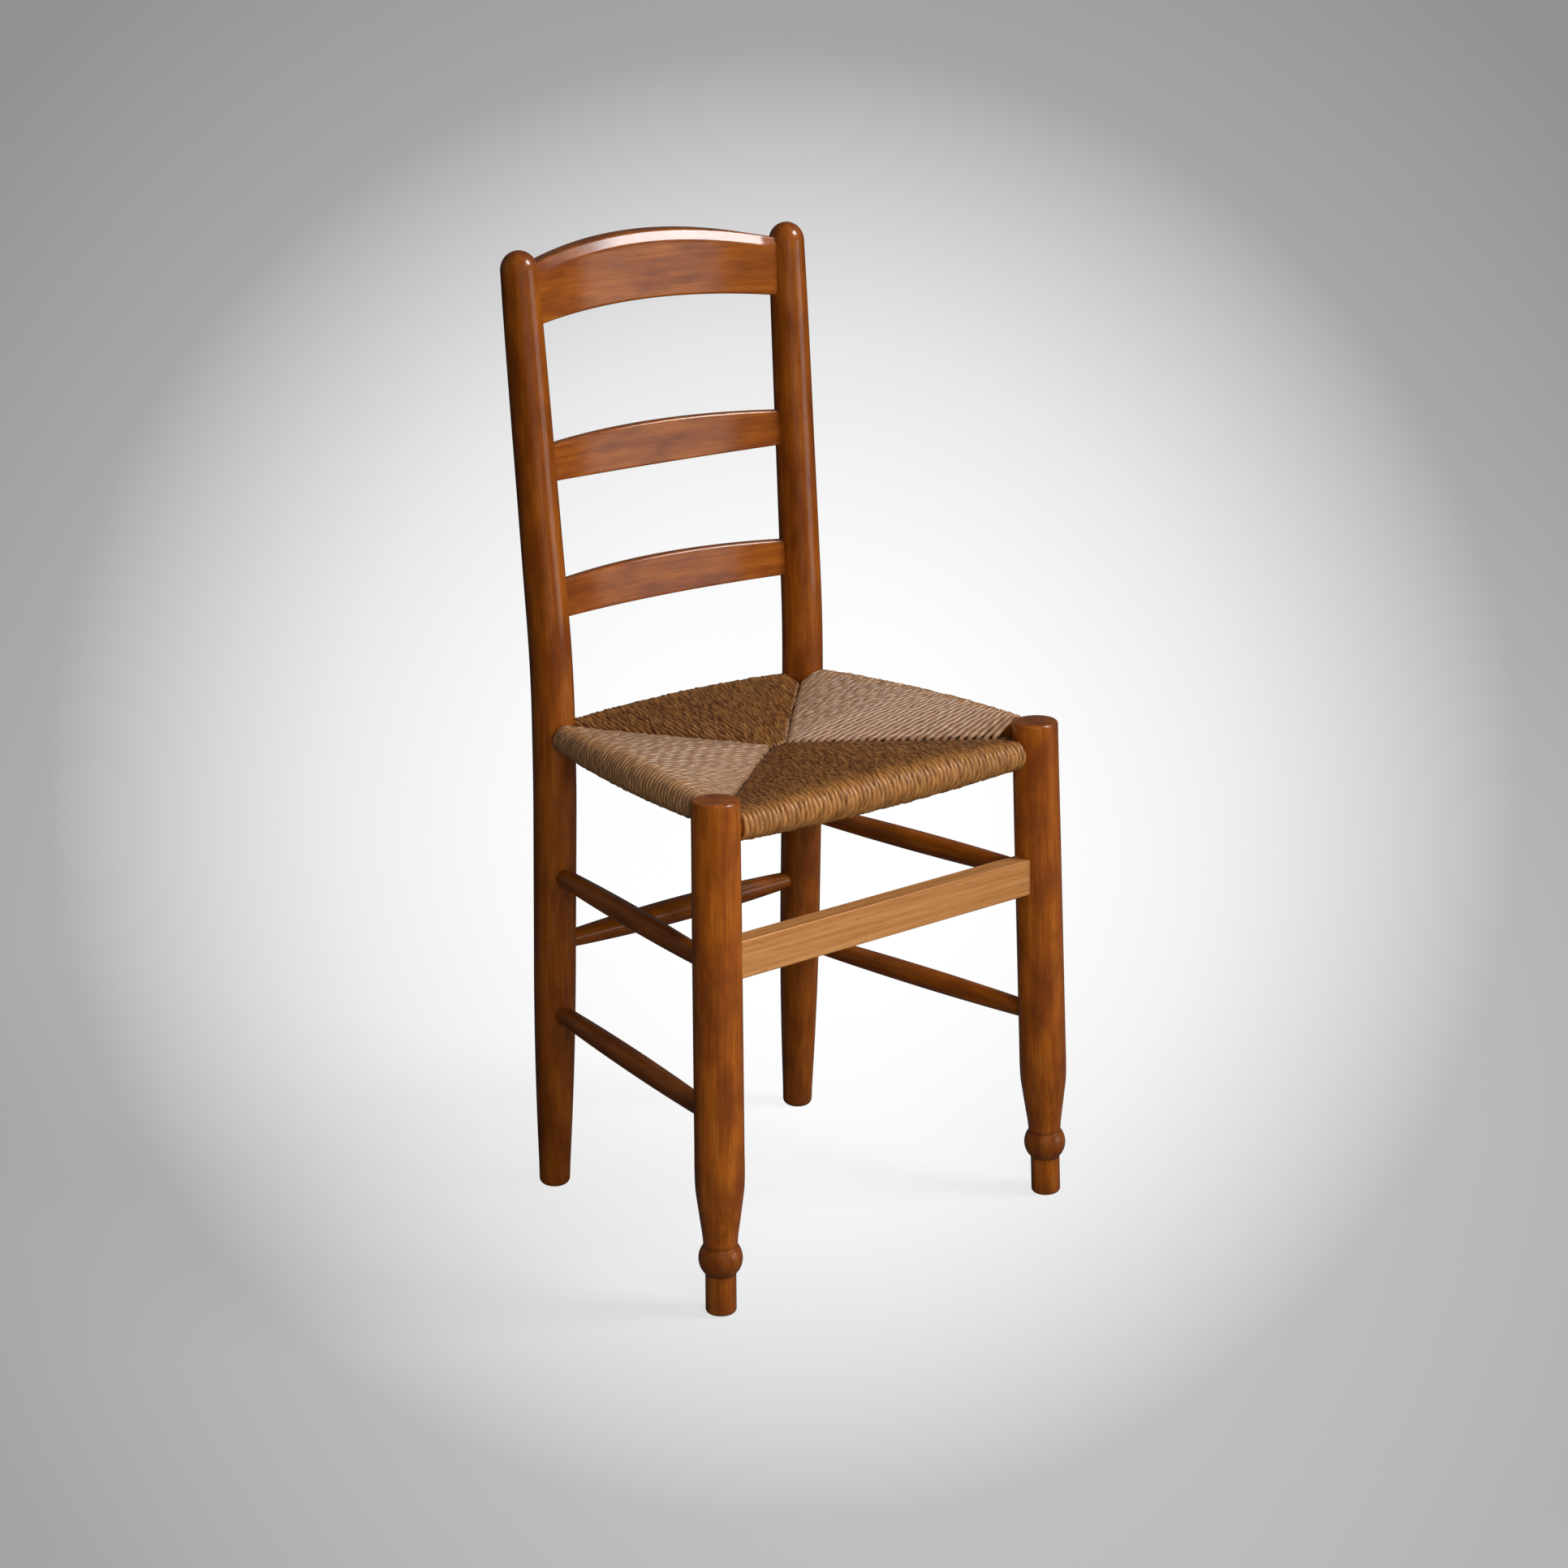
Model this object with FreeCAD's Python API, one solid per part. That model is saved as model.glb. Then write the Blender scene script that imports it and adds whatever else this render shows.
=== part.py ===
import FreeCAD, Part
import math
import os
from FreeCAD import Vector

# Ladderback dining chair with a rush seat.
# Millimetres, +Z up. The chair faces -Y and left is -X, as seen from the front.
# The origin is on the floor, under the middle of the finished chair.

# Overall sizes of the frame, measured to the axes of the turned legs and posts
TOTAL_HEIGHT = 900.0
FRONT_LEG_HEIGHT = 470.0
SEAT_DEPTH = 290.0
FRONT_FOOT_SPAN = 395.0
FRONT_TOP_SPAN = 370.0
FRONT_FOOT_FORWARD = 10.0
BACK_FOOT_SPAN = 304.0
BACK_KNEE_SPAN = 297.0
BACK_TOP_SPAN = 306.0

# The back posts bend gently at two knees, below and above the seat rails. A setback is how
# far back the axis is there, and a bend half is half the length of the bend at a knee.
KNEE_HEIGHT = 463.0
KNEE_SPACING = 110.0
BACK_FOOT_SETBACK = 23.5
LOW_KNEE_SETBACK = 3.9
HIGH_KNEE_SETBACK = 1.9
BACK_TOP_SETBACK = 26.5
LOW_BEND_HALF = 35.0
HIGH_BEND_HALF = 46.0

# Spare length under each foot, sawn off flat at the floor
FOOT_ALLOWANCE = 0.8

# Turned front leg, from the floor up: foot, bead, neck, throat, shoulder and shaft
FOOT_RADIUS = 13.6
FOOT_EASE = 2.5
BEAD_RADIUS = 18.5
BEAD_HEIGHT = 50.5
NECK_RADIUS = 15.0
THROAT_RADIUS = 15.6
THROAT_HEIGHT = 72.0
SHOULDER_RADIUS = 20.9
SHOULDER_HEIGHT = 112.0
LEG_RADIUS = 21.8
SHAFT_HEIGHT = 127.0
LEG_TOP_EASE = 3.2

# Turned back post, from the floor up: foot, ankle and shaft, and the domed top
POST_FOOT_RADIUS = 14.8
POST_FOOT_EASE = 5.5
POST_ANKLE_RADIUS = 17.5
POST_ANKLE_HEIGHT = 83.0
POST_RADIUS = 20.0
POST_SHAFT_HEIGHT = 168.0
POST_TOP_RADIUS = 16.9

# Back rails: height of the centre, height at the ends and in the middle, thickness and bow
CREST_HEIGHT = 861.0
CREST_END_TOP = 23.5
CREST_MID_TOP = 46.0
CREST_END_BOTTOM = -28.0
CREST_MID_BOTTOM = -17.0
CREST_THICKNESS = 19.0
CREST_BOW = 22.0
CREST_FRONT_EASE = 4.5
CREST_EASE = 2.0
MIDDLE_SLAT_HEIGHT = 709.0
MIDDLE_SLAT_END = 32.0
MIDDLE_SLAT_MID_TOP = 21.5
MIDDLE_SLAT_MID_BOTTOM = -21.5
LOWER_SLAT_HEIGHT = 584.0
LOWER_SLAT_END = 34.0
LOWER_SLAT_MID_TOP = 20.5
LOWER_SLAT_MID_BOTTOM = -18.5
SLAT_THICKNESS = 11.0
SLAT_BOW = 20.0
SLAT_EASE = 1.2

# Stretchers
BOARD_HEIGHT = 324.5
BOARD_WIDTH = 34.5
BOARD_THICKNESS = 19.0
BOARD_EASE = 1.2
BACK_STRETCHER_HEIGHT = 250.0
BACK_STRETCHER_END_RADIUS = 8.2
BACK_STRETCHER_MID_RADIUS = 12.2
SIDE_UPPER_HEIGHT = 321.0
SIDE_LOWER_HEIGHT = 182.0
SIDE_STRETCHER_END_RADIUS = 8.4
SIDE_STRETCHER_MID_RADIUS = 10.4
STRETCHER_TAPER = 45.0

# Seat rails under the rush
FRONT_RAIL_HEIGHT = 441.5
BACK_RAIL_HEIGHT = 453.5
SIDE_RAIL_HEIGHT = 457.5
SEAT_RAIL_RADIUS = 9.0

# Joints between the wooden pieces
TENON_TIP_TO_AXIS = 8.5
TENON_CLEARANCE = 0.1
MORTISE_SPARE = 1.0
SHOULDER_GAP = 0.2
CREST_TENON_THICKNESS = 10.0
SLAT_TENON_THICKNESS = 8.0
BOARD_TENON_THICKNESS = 10.0
TENON_SHOULDER = 3.0

# Rush seat
RUSH_END_RADIUS = 13.5
RUSH_MID_RADIUS = 17.5
RUSH_GAP = 0.3
RUSH_END_GAP = 0.9
SEAM_GAP = 0.5
RIDGE_DEPTH = 1.0
RIDGES_EACH_SIDE = 9
RIDGES_AT_HUB = 1
HUB_HALF_WIDTH = 9.0
HUB_TOP_HEIGHT = 453.0
HUB_BOTTOM_HEIGHT = 430.0
SEAM_CORNER_DROP = 3.0
TOP_CROWN = 0.015
ROLL_FACETS = 6
STUFFING_THICKNESS = 10.0
STUFFING_START = 24.0
STUFFING_REACH = 0.85
STUFFING_WALL = 3.0


def mix(a, b, t):
    return a + (b - a) * t


def unit(v):
    return v * (1.0 / v.Length)


def front_axis(side, z):
    """Point on a front leg's axis at height z; side is -1 for left and 1 for right."""
    t = z / FRONT_LEG_HEIGHT
    x = side * mix(FRONT_FOOT_SPAN, FRONT_TOP_SPAN, t) / 2
    y = -SEAT_DEPTH - FRONT_FOOT_FORWARD * (1 - t)
    return Vector(x, y, z)


def post_path(side):
    """A back post's foot, its bends as (start, centre, end), and its top."""
    foot = Vector(side * BACK_FOOT_SPAN / 2, BACK_FOOT_SETBACK, 0)
    low = Vector(side * BACK_KNEE_SPAN / 2, LOW_KNEE_SETBACK, KNEE_HEIGHT - KNEE_SPACING / 2)
    high = Vector(side * BACK_KNEE_SPAN / 2, HIGH_KNEE_SETBACK, KNEE_HEIGHT + KNEE_SPACING / 2)
    top = Vector(side * BACK_TOP_SPAN / 2, BACK_TOP_SETBACK, TOTAL_HEIGHT)
    bends = []
    for before, knee, after, half in ((foot, low, high, LOW_BEND_HALF), (low, high, top, HIGH_BEND_HALF)):
        below = unit(before - knee)
        above = unit(after - knee)
        half_angle = below.getAngle(above) / 2
        centre = knee + unit(below + above) * (half / math.cos(half_angle))
        bends.append((knee + below * half, centre, knee + above * half))
    return foot, bends, top


def along_line(a, b, z):
    return a + (b - a) * ((z - a.z) / (b.z - a.z))


def along_bend(bend, before, z):
    """Point at height z on a bend that carries on smoothly from the point before it."""
    start, centre = bend[:2]
    outward = unit(start - centre)
    onward = unit(start - before)
    radius = (start - centre).Length
    size = math.hypot(outward.z, onward.z)
    angle = math.asin((z - centre.z) / (radius * size)) - math.atan2(outward.z, onward.z)
    return centre + (outward * math.cos(angle) + onward * math.sin(angle)) * radius


def back_axis(side, z):
    """Point on a back post's axis at height z."""
    before, bends, top = post_path(side)
    for bend in bends:
        if z <= bend[0].z:
            return along_line(before, bend[0], z)
        if z < bend[2].z:
            return along_bend(bend, before, z)
        before = bend[2]
    return along_line(before, top, z)


def line(a, b):
    return Part.LineSegment(a, b).toShape()


def arc(a, b, c):
    return Part.Arc(a, b, c).toShape()


def point(radius, height):
    """A point of a turning profile, in the plane of the axis."""
    return Vector(radius, 0, height)


def run(spots):
    """Straight edges of a turning profile through (radius, height) spots."""
    return [line(point(*spot), point(*after)) for spot, after in zip(spots, spots[1:])]


def eased_rim(radius, end, ease, up):
    """Spots of a rim eased by two narrow bevels, from the end face to the side.

    up is 1 at a lower end and -1 at an upper one."""
    inset = ease * (1 - math.sqrt(0.5))
    return [(radius - ease, end), (radius - inset, end + up * inset), (radius, end + up * ease)]


def turned(edges, base, tip):
    """Turn a profile, drawn about Z from height 0, and stand it on base, pointing at tip."""
    face = Part.Face(Part.Wire(edges))
    solid = face.revolve(Vector(0, 0, 0), Vector(0, 0, 1), 360)
    turn = FreeCAD.Rotation(Vector(0, 0, 1), tip - base)
    solid.Placement = FreeCAD.Placement(base, turn)
    return solid


def sawn_flat(leg):
    """Saw the foot flat at the floor."""
    box = leg.BoundBox
    floor = Part.makeBox(box.XLength + 2, box.YLength + 2, 2 * FOOT_ALLOWANCE,
                         Vector(box.XMin - 1, box.YMin - 1, -2 * FOOT_ALLOWANCE))
    return leg.cut(floor).Solids[0]


def front_leg_blank(side, grow=0.0):
    """Front leg before its mortises; grow makes it fatter for coping the rails' shoulders."""
    base = front_axis(side, 0)
    top = front_axis(side, FRONT_LEG_HEIGHT)
    length = (top - base).Length
    foot = FOOT_RADIUS + grow
    bead = BEAD_RADIUS + grow
    neck = NECK_RADIUS + grow
    bead_start = (foot, BEAD_HEIGHT - math.sqrt(bead ** 2 - foot ** 2))
    bead_end = (neck, BEAD_HEIGHT + math.sqrt(bead ** 2 - neck ** 2))
    edges = run([(0, -FOOT_ALLOWANCE)] + eased_rim(foot, -FOOT_ALLOWANCE, FOOT_EASE, 1) + [bead_start])
    edges.append(arc(point(*bead_start), point(bead, BEAD_HEIGHT), point(*bead_end)))
    edges += run([bead_end, (THROAT_RADIUS + grow, THROAT_HEIGHT), (SHOULDER_RADIUS + grow, SHOULDER_HEIGHT),
                  (LEG_RADIUS + grow, SHAFT_HEIGHT)]
                 + eased_rim(LEG_RADIUS + grow, length, LEG_TOP_EASE, -1)[::-1]
                 + [(0, length), (0, -FOOT_ALLOWANCE)])
    return sawn_flat(turned(edges, base, top))


def back_post_blank(side):
    """Back post before its mortises: a turned foot, two bends and a tapered top."""
    foot, bends, top = post_path(side)
    start = bends[0][0]
    end = bends[-1][2]
    lower = (start - foot).Length
    upper = (top - end).Length
    neck = upper - POST_TOP_RADIUS
    dome = POST_TOP_RADIUS * math.sqrt(0.5)
    low = -FOOT_ALLOWANCE
    profile = ([(0, low)] + eased_rim(POST_FOOT_RADIUS, low, POST_FOOT_EASE, 1)
               + [(POST_ANKLE_RADIUS, POST_ANKLE_HEIGHT), (POST_RADIUS, POST_SHAFT_HEIGHT),
                  (POST_RADIUS, lower), (0, lower), (0, low)])
    pieces = [turned(run(profile), foot, start)]
    before = foot
    for start, centre, end in bends:
        if before != foot:
            pieces.append(Part.makeCylinder(POST_RADIUS, (start - before).Length, before, start - before))
        disc = Part.Face(Part.Wire(Part.makeCircle(POST_RADIUS, start, start - before)))
        turn_axis = unit((start - centre).cross(end - centre))
        angle = math.degrees((start - centre).getAngle(end - centre))
        pieces.append(disc.revolve(centre, turn_axis, angle))
        before = end
    edges = run([(0, 0), (POST_RADIUS, 0), (POST_TOP_RADIUS, neck)])
    edges.append(arc(point(POST_TOP_RADIUS, neck), point(dome, neck + dome), point(0, upper)))
    edges += run([(0, upper), (0, 0)])
    pieces.append(turned(edges, before, top))
    post = pieces[0].fuse(pieces[1:]).removeSplitter()
    return sawn_flat(post.Solids[0])


def post_taper(side, grow):
    """The tapered stretch of a back post above its bends, carried on past the dome."""
    foot, bends, top = post_path(side)
    end = bends[-1][2]
    upper = (top - end).Length
    slope = (POST_TOP_RADIUS - POST_RADIUS) / (upper - POST_TOP_RADIUS)
    return Part.makeCone(POST_RADIUS + grow, POST_RADIUS + grow + slope * upper, upper, end, top - end)


def stretcher(a, b, end_radius, mid_radius):
    """Round stretcher between two axis points, tapered near its ends."""
    direction = unit(b - a)
    base = a + direction * TENON_TIP_TO_AXIS
    tip = b - direction * TENON_TIP_TO_AXIS
    length = (tip - base).Length
    full = LEG_RADIUS + STRETCHER_TAPER
    return turned(run([(0, 0), (end_radius, 0), (end_radius, LEG_RADIUS), (mid_radius, full),
                       (mid_radius, length - full), (end_radius, length - LEG_RADIUS),
                       (end_radius, length), (0, length), (0, 0)]), base, tip)


def seat_rail(a, b):
    """Plain round seat rail between two axis points."""
    direction = unit(b - a)
    length = (b - a).Length - 2 * TENON_TIP_TO_AXIS
    return Part.makeCylinder(SEAT_RAIL_RADIUS, length, a + direction * TENON_TIP_TO_AXIS, direction)


def round_mortise(a, b, radius):
    """Hole in a leg or post at a, for a round tenon that runs towards b."""
    direction = unit(b - a)
    start = a + direction * (TENON_TIP_TO_AXIS - MORTISE_SPARE)
    return Part.makeCylinder(radius + TENON_CLEARANCE, 2 * LEG_RADIUS, start, direction)


def bored(leg, holes):
    """Cut a leg's mortises one at a time."""
    for hole in holes:
        leg = leg.cut(hole)
    return leg


def edge_between(a, mid_height, b):
    """Straight or arched edge from a to b, at mid_height in the middle."""
    if abs(mid_height - a.z) < 0.01:
        return line(a, b)
    return arc(a, Vector((a.x + b.x) / 2, 0, mid_height), b)


def board(half_length, thickness, bow, ends, middle, reach):
    """Board along X about the origin, bowed towards +Y, with arched top and bottom edges.

    ends and middle are (bottom, top) heights. The bow and the ends' heights are those at
    reach from the middle, which is where the posts' axes are."""
    low = min(ends[0], middle[0]) - thickness
    tall = max(ends[1], middle[1]) + thickness - low
    if bow:
        radius = (reach * reach + bow * bow) / (2 * bow)
        centre = Vector(0, bow - radius, low)
        angle = math.degrees(math.asin((half_length + thickness) / radius))
        outer = Part.makeCylinder(radius + thickness / 2, tall, centre, Vector(0, 0, 1), 2 * angle)
        inner = Part.makeCylinder(radius - thickness / 2, tall, centre, Vector(0, 0, 1), 2 * angle)
        slab = outer.cut(inner)
        slab.rotate(centre, Vector(0, 0, 1), 90 - angle)
    else:
        corner = Vector(-half_length - thickness, -thickness / 2, low)
        slab = Part.makeBox(2 * (half_length + thickness), thickness, tall, corner)
    share = (half_length / reach) ** 2
    bottom = mix(middle[0], ends[0], share)
    top = mix(middle[1], ends[1], share)
    depth = 2 * (bow + thickness)
    edges = [edge_between(Vector(-half_length, 0, bottom), middle[0], Vector(half_length, 0, bottom)),
             line(Vector(half_length, 0, bottom), Vector(half_length, 0, top)),
             edge_between(Vector(half_length, 0, top), middle[1], Vector(-half_length, 0, top)),
             line(Vector(-half_length, 0, top), Vector(-half_length, 0, bottom))]
    outline = Part.Face(Part.Wire(edges))
    outline.translate(Vector(0, -depth, 0))
    return slab.common(outline.extrude(Vector(0, 2 * depth, 0)))


def chamfer_long_edges(solid, size, wanted):
    """Chamfer those of a board's long edges whose middle is wanted."""
    reach = solid.BoundBox.XLength / 2
    chosen = []
    for edge in solid.Edges:
        middle = edge.valueAt((edge.FirstParameter + edge.LastParameter) / 2)
        if edge.BoundBox.XLength > reach and wanted(middle):
            chosen.append(edge)
    return solid.makeChamfer(size, chosen)


def eased(solid, bow, front_top_ease, ease):
    """Ease a board's long edges; the front one at the top is rounded over in three facets."""
    mid_height = solid.BoundBox.Center.z

    def front_top(middle):
        return middle.y < bow and middle.z > mid_height

    if front_top_ease > ease:
        solid = chamfer_long_edges(solid, front_top_ease, front_top)
        solid = chamfer_long_edges(solid, front_top_ease / 3, front_top)
        return chamfer_long_edges(solid, ease, lambda middle: not front_top(middle))
    return chamfer_long_edges(solid, ease, lambda middle: True)


def flat_rail(axis_point, rake, thickness, bow, ends, middle, eases, tenon_thickness, coping):
    """Flat rail centred between two legs, and the shape of its mortises.

    axis_point is on the right leg's axis, and coping holds the two legs, slightly grown."""
    half_span = axis_point.x
    turn = FreeCAD.Rotation(Vector(1, 0, 0), -math.degrees(math.atan(rake)))
    place = FreeCAD.Placement(Vector(0, axis_point.y, axis_point.z), turn)
    body = eased(board(half_span, thickness, bow, ends, middle, half_span), bow, *eases)
    body.Placement = place
    body = body.cut(coping)
    body = max(body.Solids, key=lambda piece: piece.Volume)
    tenon_ends = (ends[0] + TENON_SHOULDER, ends[1] - TENON_SHOULDER)
    tenon = board(half_span - TENON_TIP_TO_AXIS, tenon_thickness, bow, tenon_ends, tenon_ends, half_span)
    clear = half_span - LEG_RADIUS - TENON_SHOULDER
    between = board(clear, 3 * tenon_thickness, bow, (ends[0] - thickness, ends[1] + thickness),
                    (ends[0] - thickness, ends[1] + thickness), half_span)
    tenon = tenon.cut(between)
    tenon.Placement = place
    hole_ends = (tenon_ends[0] - TENON_CLEARANCE, tenon_ends[1] + TENON_CLEARANCE)
    hole = board(half_span - TENON_TIP_TO_AXIS + MORTISE_SPARE, tenon_thickness + 2 * TENON_CLEARANCE,
                 bow, hole_ends, hole_ends, half_span)
    hole.Placement = place
    return body.fuse(tenon).removeSplitter().Solids[0], hole


class Panel:
    """One triangular panel of the rush seat: its rail from a to b, its seams and its heights.

    hub_a and hub_b are where its two seams end in the middle of the seat, and corner_a and
    corner_b are the seams' (bottom, top) heights at the corners."""

    def __init__(self, a, b, start_clear, end_clear, hub_a, hub_b, corner_a, corner_b):
        self.a = a
        self.length = (b - a).Length
        self.along = unit(b - a)
        self.inward = Vector(0, 0, 1).cross(self.along)
        self.start_clear = start_clear
        self.end_clear = end_clear
        self.hub_a = (hub_a - a).dot(self.along)
        self.hub_b = (hub_b - a).dot(self.along)
        self.hub_reach = (hub_a - a).dot(self.inward)
        self.corner_a = corner_a
        self.corner_b = corner_b

    def radius(self, place):
        """Radius of the roll round the rail, fattest in the middle."""
        t = (place - self.start_clear) / (self.length - self.end_clear - self.start_clear)
        return mix(RUSH_MID_RADIUS, RUSH_END_RADIUS, (2 * t - 1) ** 2)

    def at(self, place):
        """Distance from the rail to the seam, and the seam's top and bottom heights there."""
        share = min(1, place / self.hub_a, (self.length - place) / (self.length - self.hub_b))
        corner = self.corner_a if place < self.hub_a else self.corner_b
        top = mix(corner[1], HUB_TOP_HEIGHT, share)
        bottom = mix(corner[0], HUB_BOTTOM_HEIGHT, share)
        return self.hub_reach * share, top, bottom

    def spot(self, place, inward, height):
        """Point at a place along the rail, a distance inward from it and a height."""
        ground = self.a + self.along * place + self.inward * inward
        return Vector(ground.x, ground.y, height)

    def breaks(self):
        """Places along the rail where the panel starts, where its seams end and where it stops."""
        hubs = [self.hub_a]
        if self.hub_b - self.hub_a > SEAM_GAP:
            hubs.append(self.hub_b)
        return [self.start_clear] + hubs + [self.length - self.end_clear]

    def slack(self, run_along, grow):
        """Length along the rail that keeps the stuffing its wall away from a seam."""
        return (STUFFING_WALL - grow) * math.hypot(run_along, self.hub_reach) / self.hub_reach


def spread(breaks, counts):
    """Stations between the breaks, alternately in a groove and on a ridge."""
    stations = [(breaks[0], 0)]
    for start, end, count in zip(breaks, breaks[1:], counts):
        for step in range(1, 2 * count + 1):
            stations.append((mix(start, end, step / (2 * count)), RIDGE_DEPTH * (step % 2)))
    return stations


def rush_rows(panel):
    """Outlines of a panel square to its rail, alternately in a groove and on a ridge."""
    breaks = panel.breaks()
    counts = [RIDGES_EACH_SIDE, RIDGES_EACH_SIDE]
    if len(breaks) == 4:
        counts.insert(1, RIDGES_AT_HUB)
    rows = []
    for place, ridge in spread(breaks, counts):
        reach, top, bottom = panel.at(place)
        radius = panel.radius(place) + ridge
        height = panel.a.z
        reach = reach - SEAM_GAP / 2
        middle = (top + height + radius + ridge) / 2 + TOP_CROWN * reach
        row = [panel.spot(place, reach, top + ridge), panel.spot(place, reach / 2, middle)]
        for step in range(ROLL_FACETS + 1):
            turn = math.pi * step / ROLL_FACETS
            row.append(panel.spot(place, -radius * math.sin(turn), height + radius * math.cos(turn)))
        row.append(panel.spot(place, reach, bottom - ridge))
        rows.append(row)
    return rows


def flat_face(*corners):
    return Part.Face(Part.makePolygon(list(corners) + [corners[0]]))


def faceted(rows):
    """Closed solid of flat facets through rows of corners."""
    faces = [flat_face(*rows[0]), flat_face(*rows[-1])]
    for row, after in zip(rows, rows[1:]):
        for here in range(len(row)):
            there = (here + 1) % len(row)
            faces.append(flat_face(row[here], row[there], after[there]))
            faces.append(flat_face(row[here], after[there], after[here]))
    shell = Part.makeShell(faces)
    shell.sewShape()
    solid = Part.Solid(shell)
    if solid.Volume < 0:
        solid.reverse()
    return solid


def stuffing_pad(panel, grow):
    """Flat tilted pad between a panel's layers; grow makes the pocket that holds it."""
    rail_height = (sum(panel.corner_a) + sum(panel.corner_b)) / 4
    hub_height = (HUB_TOP_HEIGHT + HUB_BOTTOM_HEIGHT) / 2
    corners = []
    for inward, far in ((STUFFING_START - grow, False), (panel.hub_reach * STUFFING_REACH + grow, True)):
        share = inward / panel.hub_reach
        height = mix(rail_height, hub_height, share) - STUFFING_THICKNESS / 2 - grow
        left = panel.hub_a * share + panel.slack(panel.hub_a, grow)
        right = panel.length - (panel.length - panel.hub_b) * share
        right -= panel.slack(panel.length - panel.hub_b, grow)
        pair = [panel.spot(left, inward, height), panel.spot(right, inward, height)]
        corners += pair[::-1] if far else pair
    return flat_face(*corners).extrude(Vector(0, 0, STUFFING_THICKNESS + 2 * grow))


def rush_panel(panel):
    """A rush panel as one closed skin of ridges round its rail, and its stuffing."""
    channel = Part.makeCylinder(SEAT_RAIL_RADIUS + RUSH_GAP, panel.length, panel.a, panel.along)
    skin = faceted(rush_rows(panel)).cut(channel).cut(stuffing_pad(panel, RUSH_GAP))
    return max(skin.Solids, key=lambda piece: piece.Volume), stuffing_pad(panel, 0.0)


def back_rail(height, thickness, bow, ends, middle, eases, tenon_thickness):
    """Bowed rail of the back at a height, and the shape of its mortises."""
    tapers = [post_taper(side, SHOULDER_GAP) for side in (-1, 1)]
    rake = (BACK_TOP_SETBACK - HIGH_KNEE_SETBACK) / (TOTAL_HEIGHT - KNEE_HEIGHT - KNEE_SPACING / 2)
    return flat_rail(back_axis(1, height), rake, thickness, bow, ends, middle, eases, tenon_thickness, tapers)


def build():
    nodes = {}
    nodes["crest_rail"], crest_hole = back_rail(
        CREST_HEIGHT, CREST_THICKNESS, CREST_BOW, (CREST_END_BOTTOM, CREST_END_TOP),
        (CREST_MID_BOTTOM, CREST_MID_TOP), (CREST_FRONT_EASE, CREST_EASE), CREST_TENON_THICKNESS)
    nodes["middle_slat"], middle_hole = back_rail(
        MIDDLE_SLAT_HEIGHT, SLAT_THICKNESS, SLAT_BOW, (-MIDDLE_SLAT_END / 2, MIDDLE_SLAT_END / 2),
        (MIDDLE_SLAT_MID_BOTTOM, MIDDLE_SLAT_MID_TOP), (SLAT_EASE, SLAT_EASE), SLAT_TENON_THICKNESS)
    nodes["lower_slat"], lower_hole = back_rail(
        LOWER_SLAT_HEIGHT, SLAT_THICKNESS, SLAT_BOW, (-LOWER_SLAT_END / 2, LOWER_SLAT_END / 2),
        (LOWER_SLAT_MID_BOTTOM, LOWER_SLAT_MID_TOP), (SLAT_EASE, SLAT_EASE), SLAT_TENON_THICKNESS)
    board_edges = (-BOARD_WIDTH / 2, BOARD_WIDTH / 2)
    grown_legs = [front_leg_blank(side, SHOULDER_GAP) for side in (-1, 1)]
    nodes["front_stretcher"], board_hole = flat_rail(
        front_axis(1, BOARD_HEIGHT), 0, BOARD_THICKNESS, 0, board_edges, board_edges,
        (BOARD_EASE, BOARD_EASE), BOARD_TENON_THICKNESS, grown_legs)

    front_ends = front_axis(-1, FRONT_RAIL_HEIGHT), front_axis(1, FRONT_RAIL_HEIGHT)
    back_ends = back_axis(-1, BACK_RAIL_HEIGHT), back_axis(1, BACK_RAIL_HEIGHT)
    low_ends = back_axis(-1, BACK_STRETCHER_HEIGHT), back_axis(1, BACK_STRETCHER_HEIGHT)
    nodes["seat_rail_front"] = seat_rail(*front_ends)
    nodes["seat_rail_back"] = seat_rail(*back_ends)
    nodes["back_stretcher"] = stretcher(*low_ends, BACK_STRETCHER_END_RADIUS, BACK_STRETCHER_MID_RADIUS)

    side_ends = front_axis(-1, SIDE_RAIL_HEIGHT), back_axis(-1, SIDE_RAIL_HEIGHT)
    nodes["seat_rail_left"] = seat_rail(*side_ends)
    leg_holes = [board_hole, round_mortise(*front_ends, SEAT_RAIL_RADIUS),
                 round_mortise(*side_ends, SEAT_RAIL_RADIUS)]
    post_holes = [crest_hole, middle_hole, lower_hole, round_mortise(*back_ends, SEAT_RAIL_RADIUS),
                  round_mortise(*side_ends[::-1], SEAT_RAIL_RADIUS),
                  round_mortise(*low_ends, BACK_STRETCHER_END_RADIUS)]
    for level, height in (("upper", SIDE_UPPER_HEIGHT), ("lower", SIDE_LOWER_HEIGHT)):
        ends = front_axis(-1, height), back_axis(-1, height)
        nodes["side_stretcher_" + level + "_left"] = stretcher(
            *ends, SIDE_STRETCHER_END_RADIUS, SIDE_STRETCHER_MID_RADIUS)
        leg_holes.append(round_mortise(*ends, SIDE_STRETCHER_END_RADIUS))
        post_holes.append(round_mortise(*ends[::-1], SIDE_STRETCHER_END_RADIUS))
    nodes["front_leg_left"] = bored(front_leg_blank(-1), leg_holes)
    nodes["back_post_left"] = bored(back_post_blank(-1), post_holes)

    for name, panel in seat_panels(front_ends, back_ends, side_ends).items():
        nodes["rush_" + name], nodes["stuffing_" + name] = rush_panel(panel)
    for name in list(nodes):
        if name.endswith("_left"):
            nodes[name.replace("_left", "_right")] = nodes[name].mirror(Vector(0, 0, 0), Vector(1, 0, 0))
    return nodes


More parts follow.
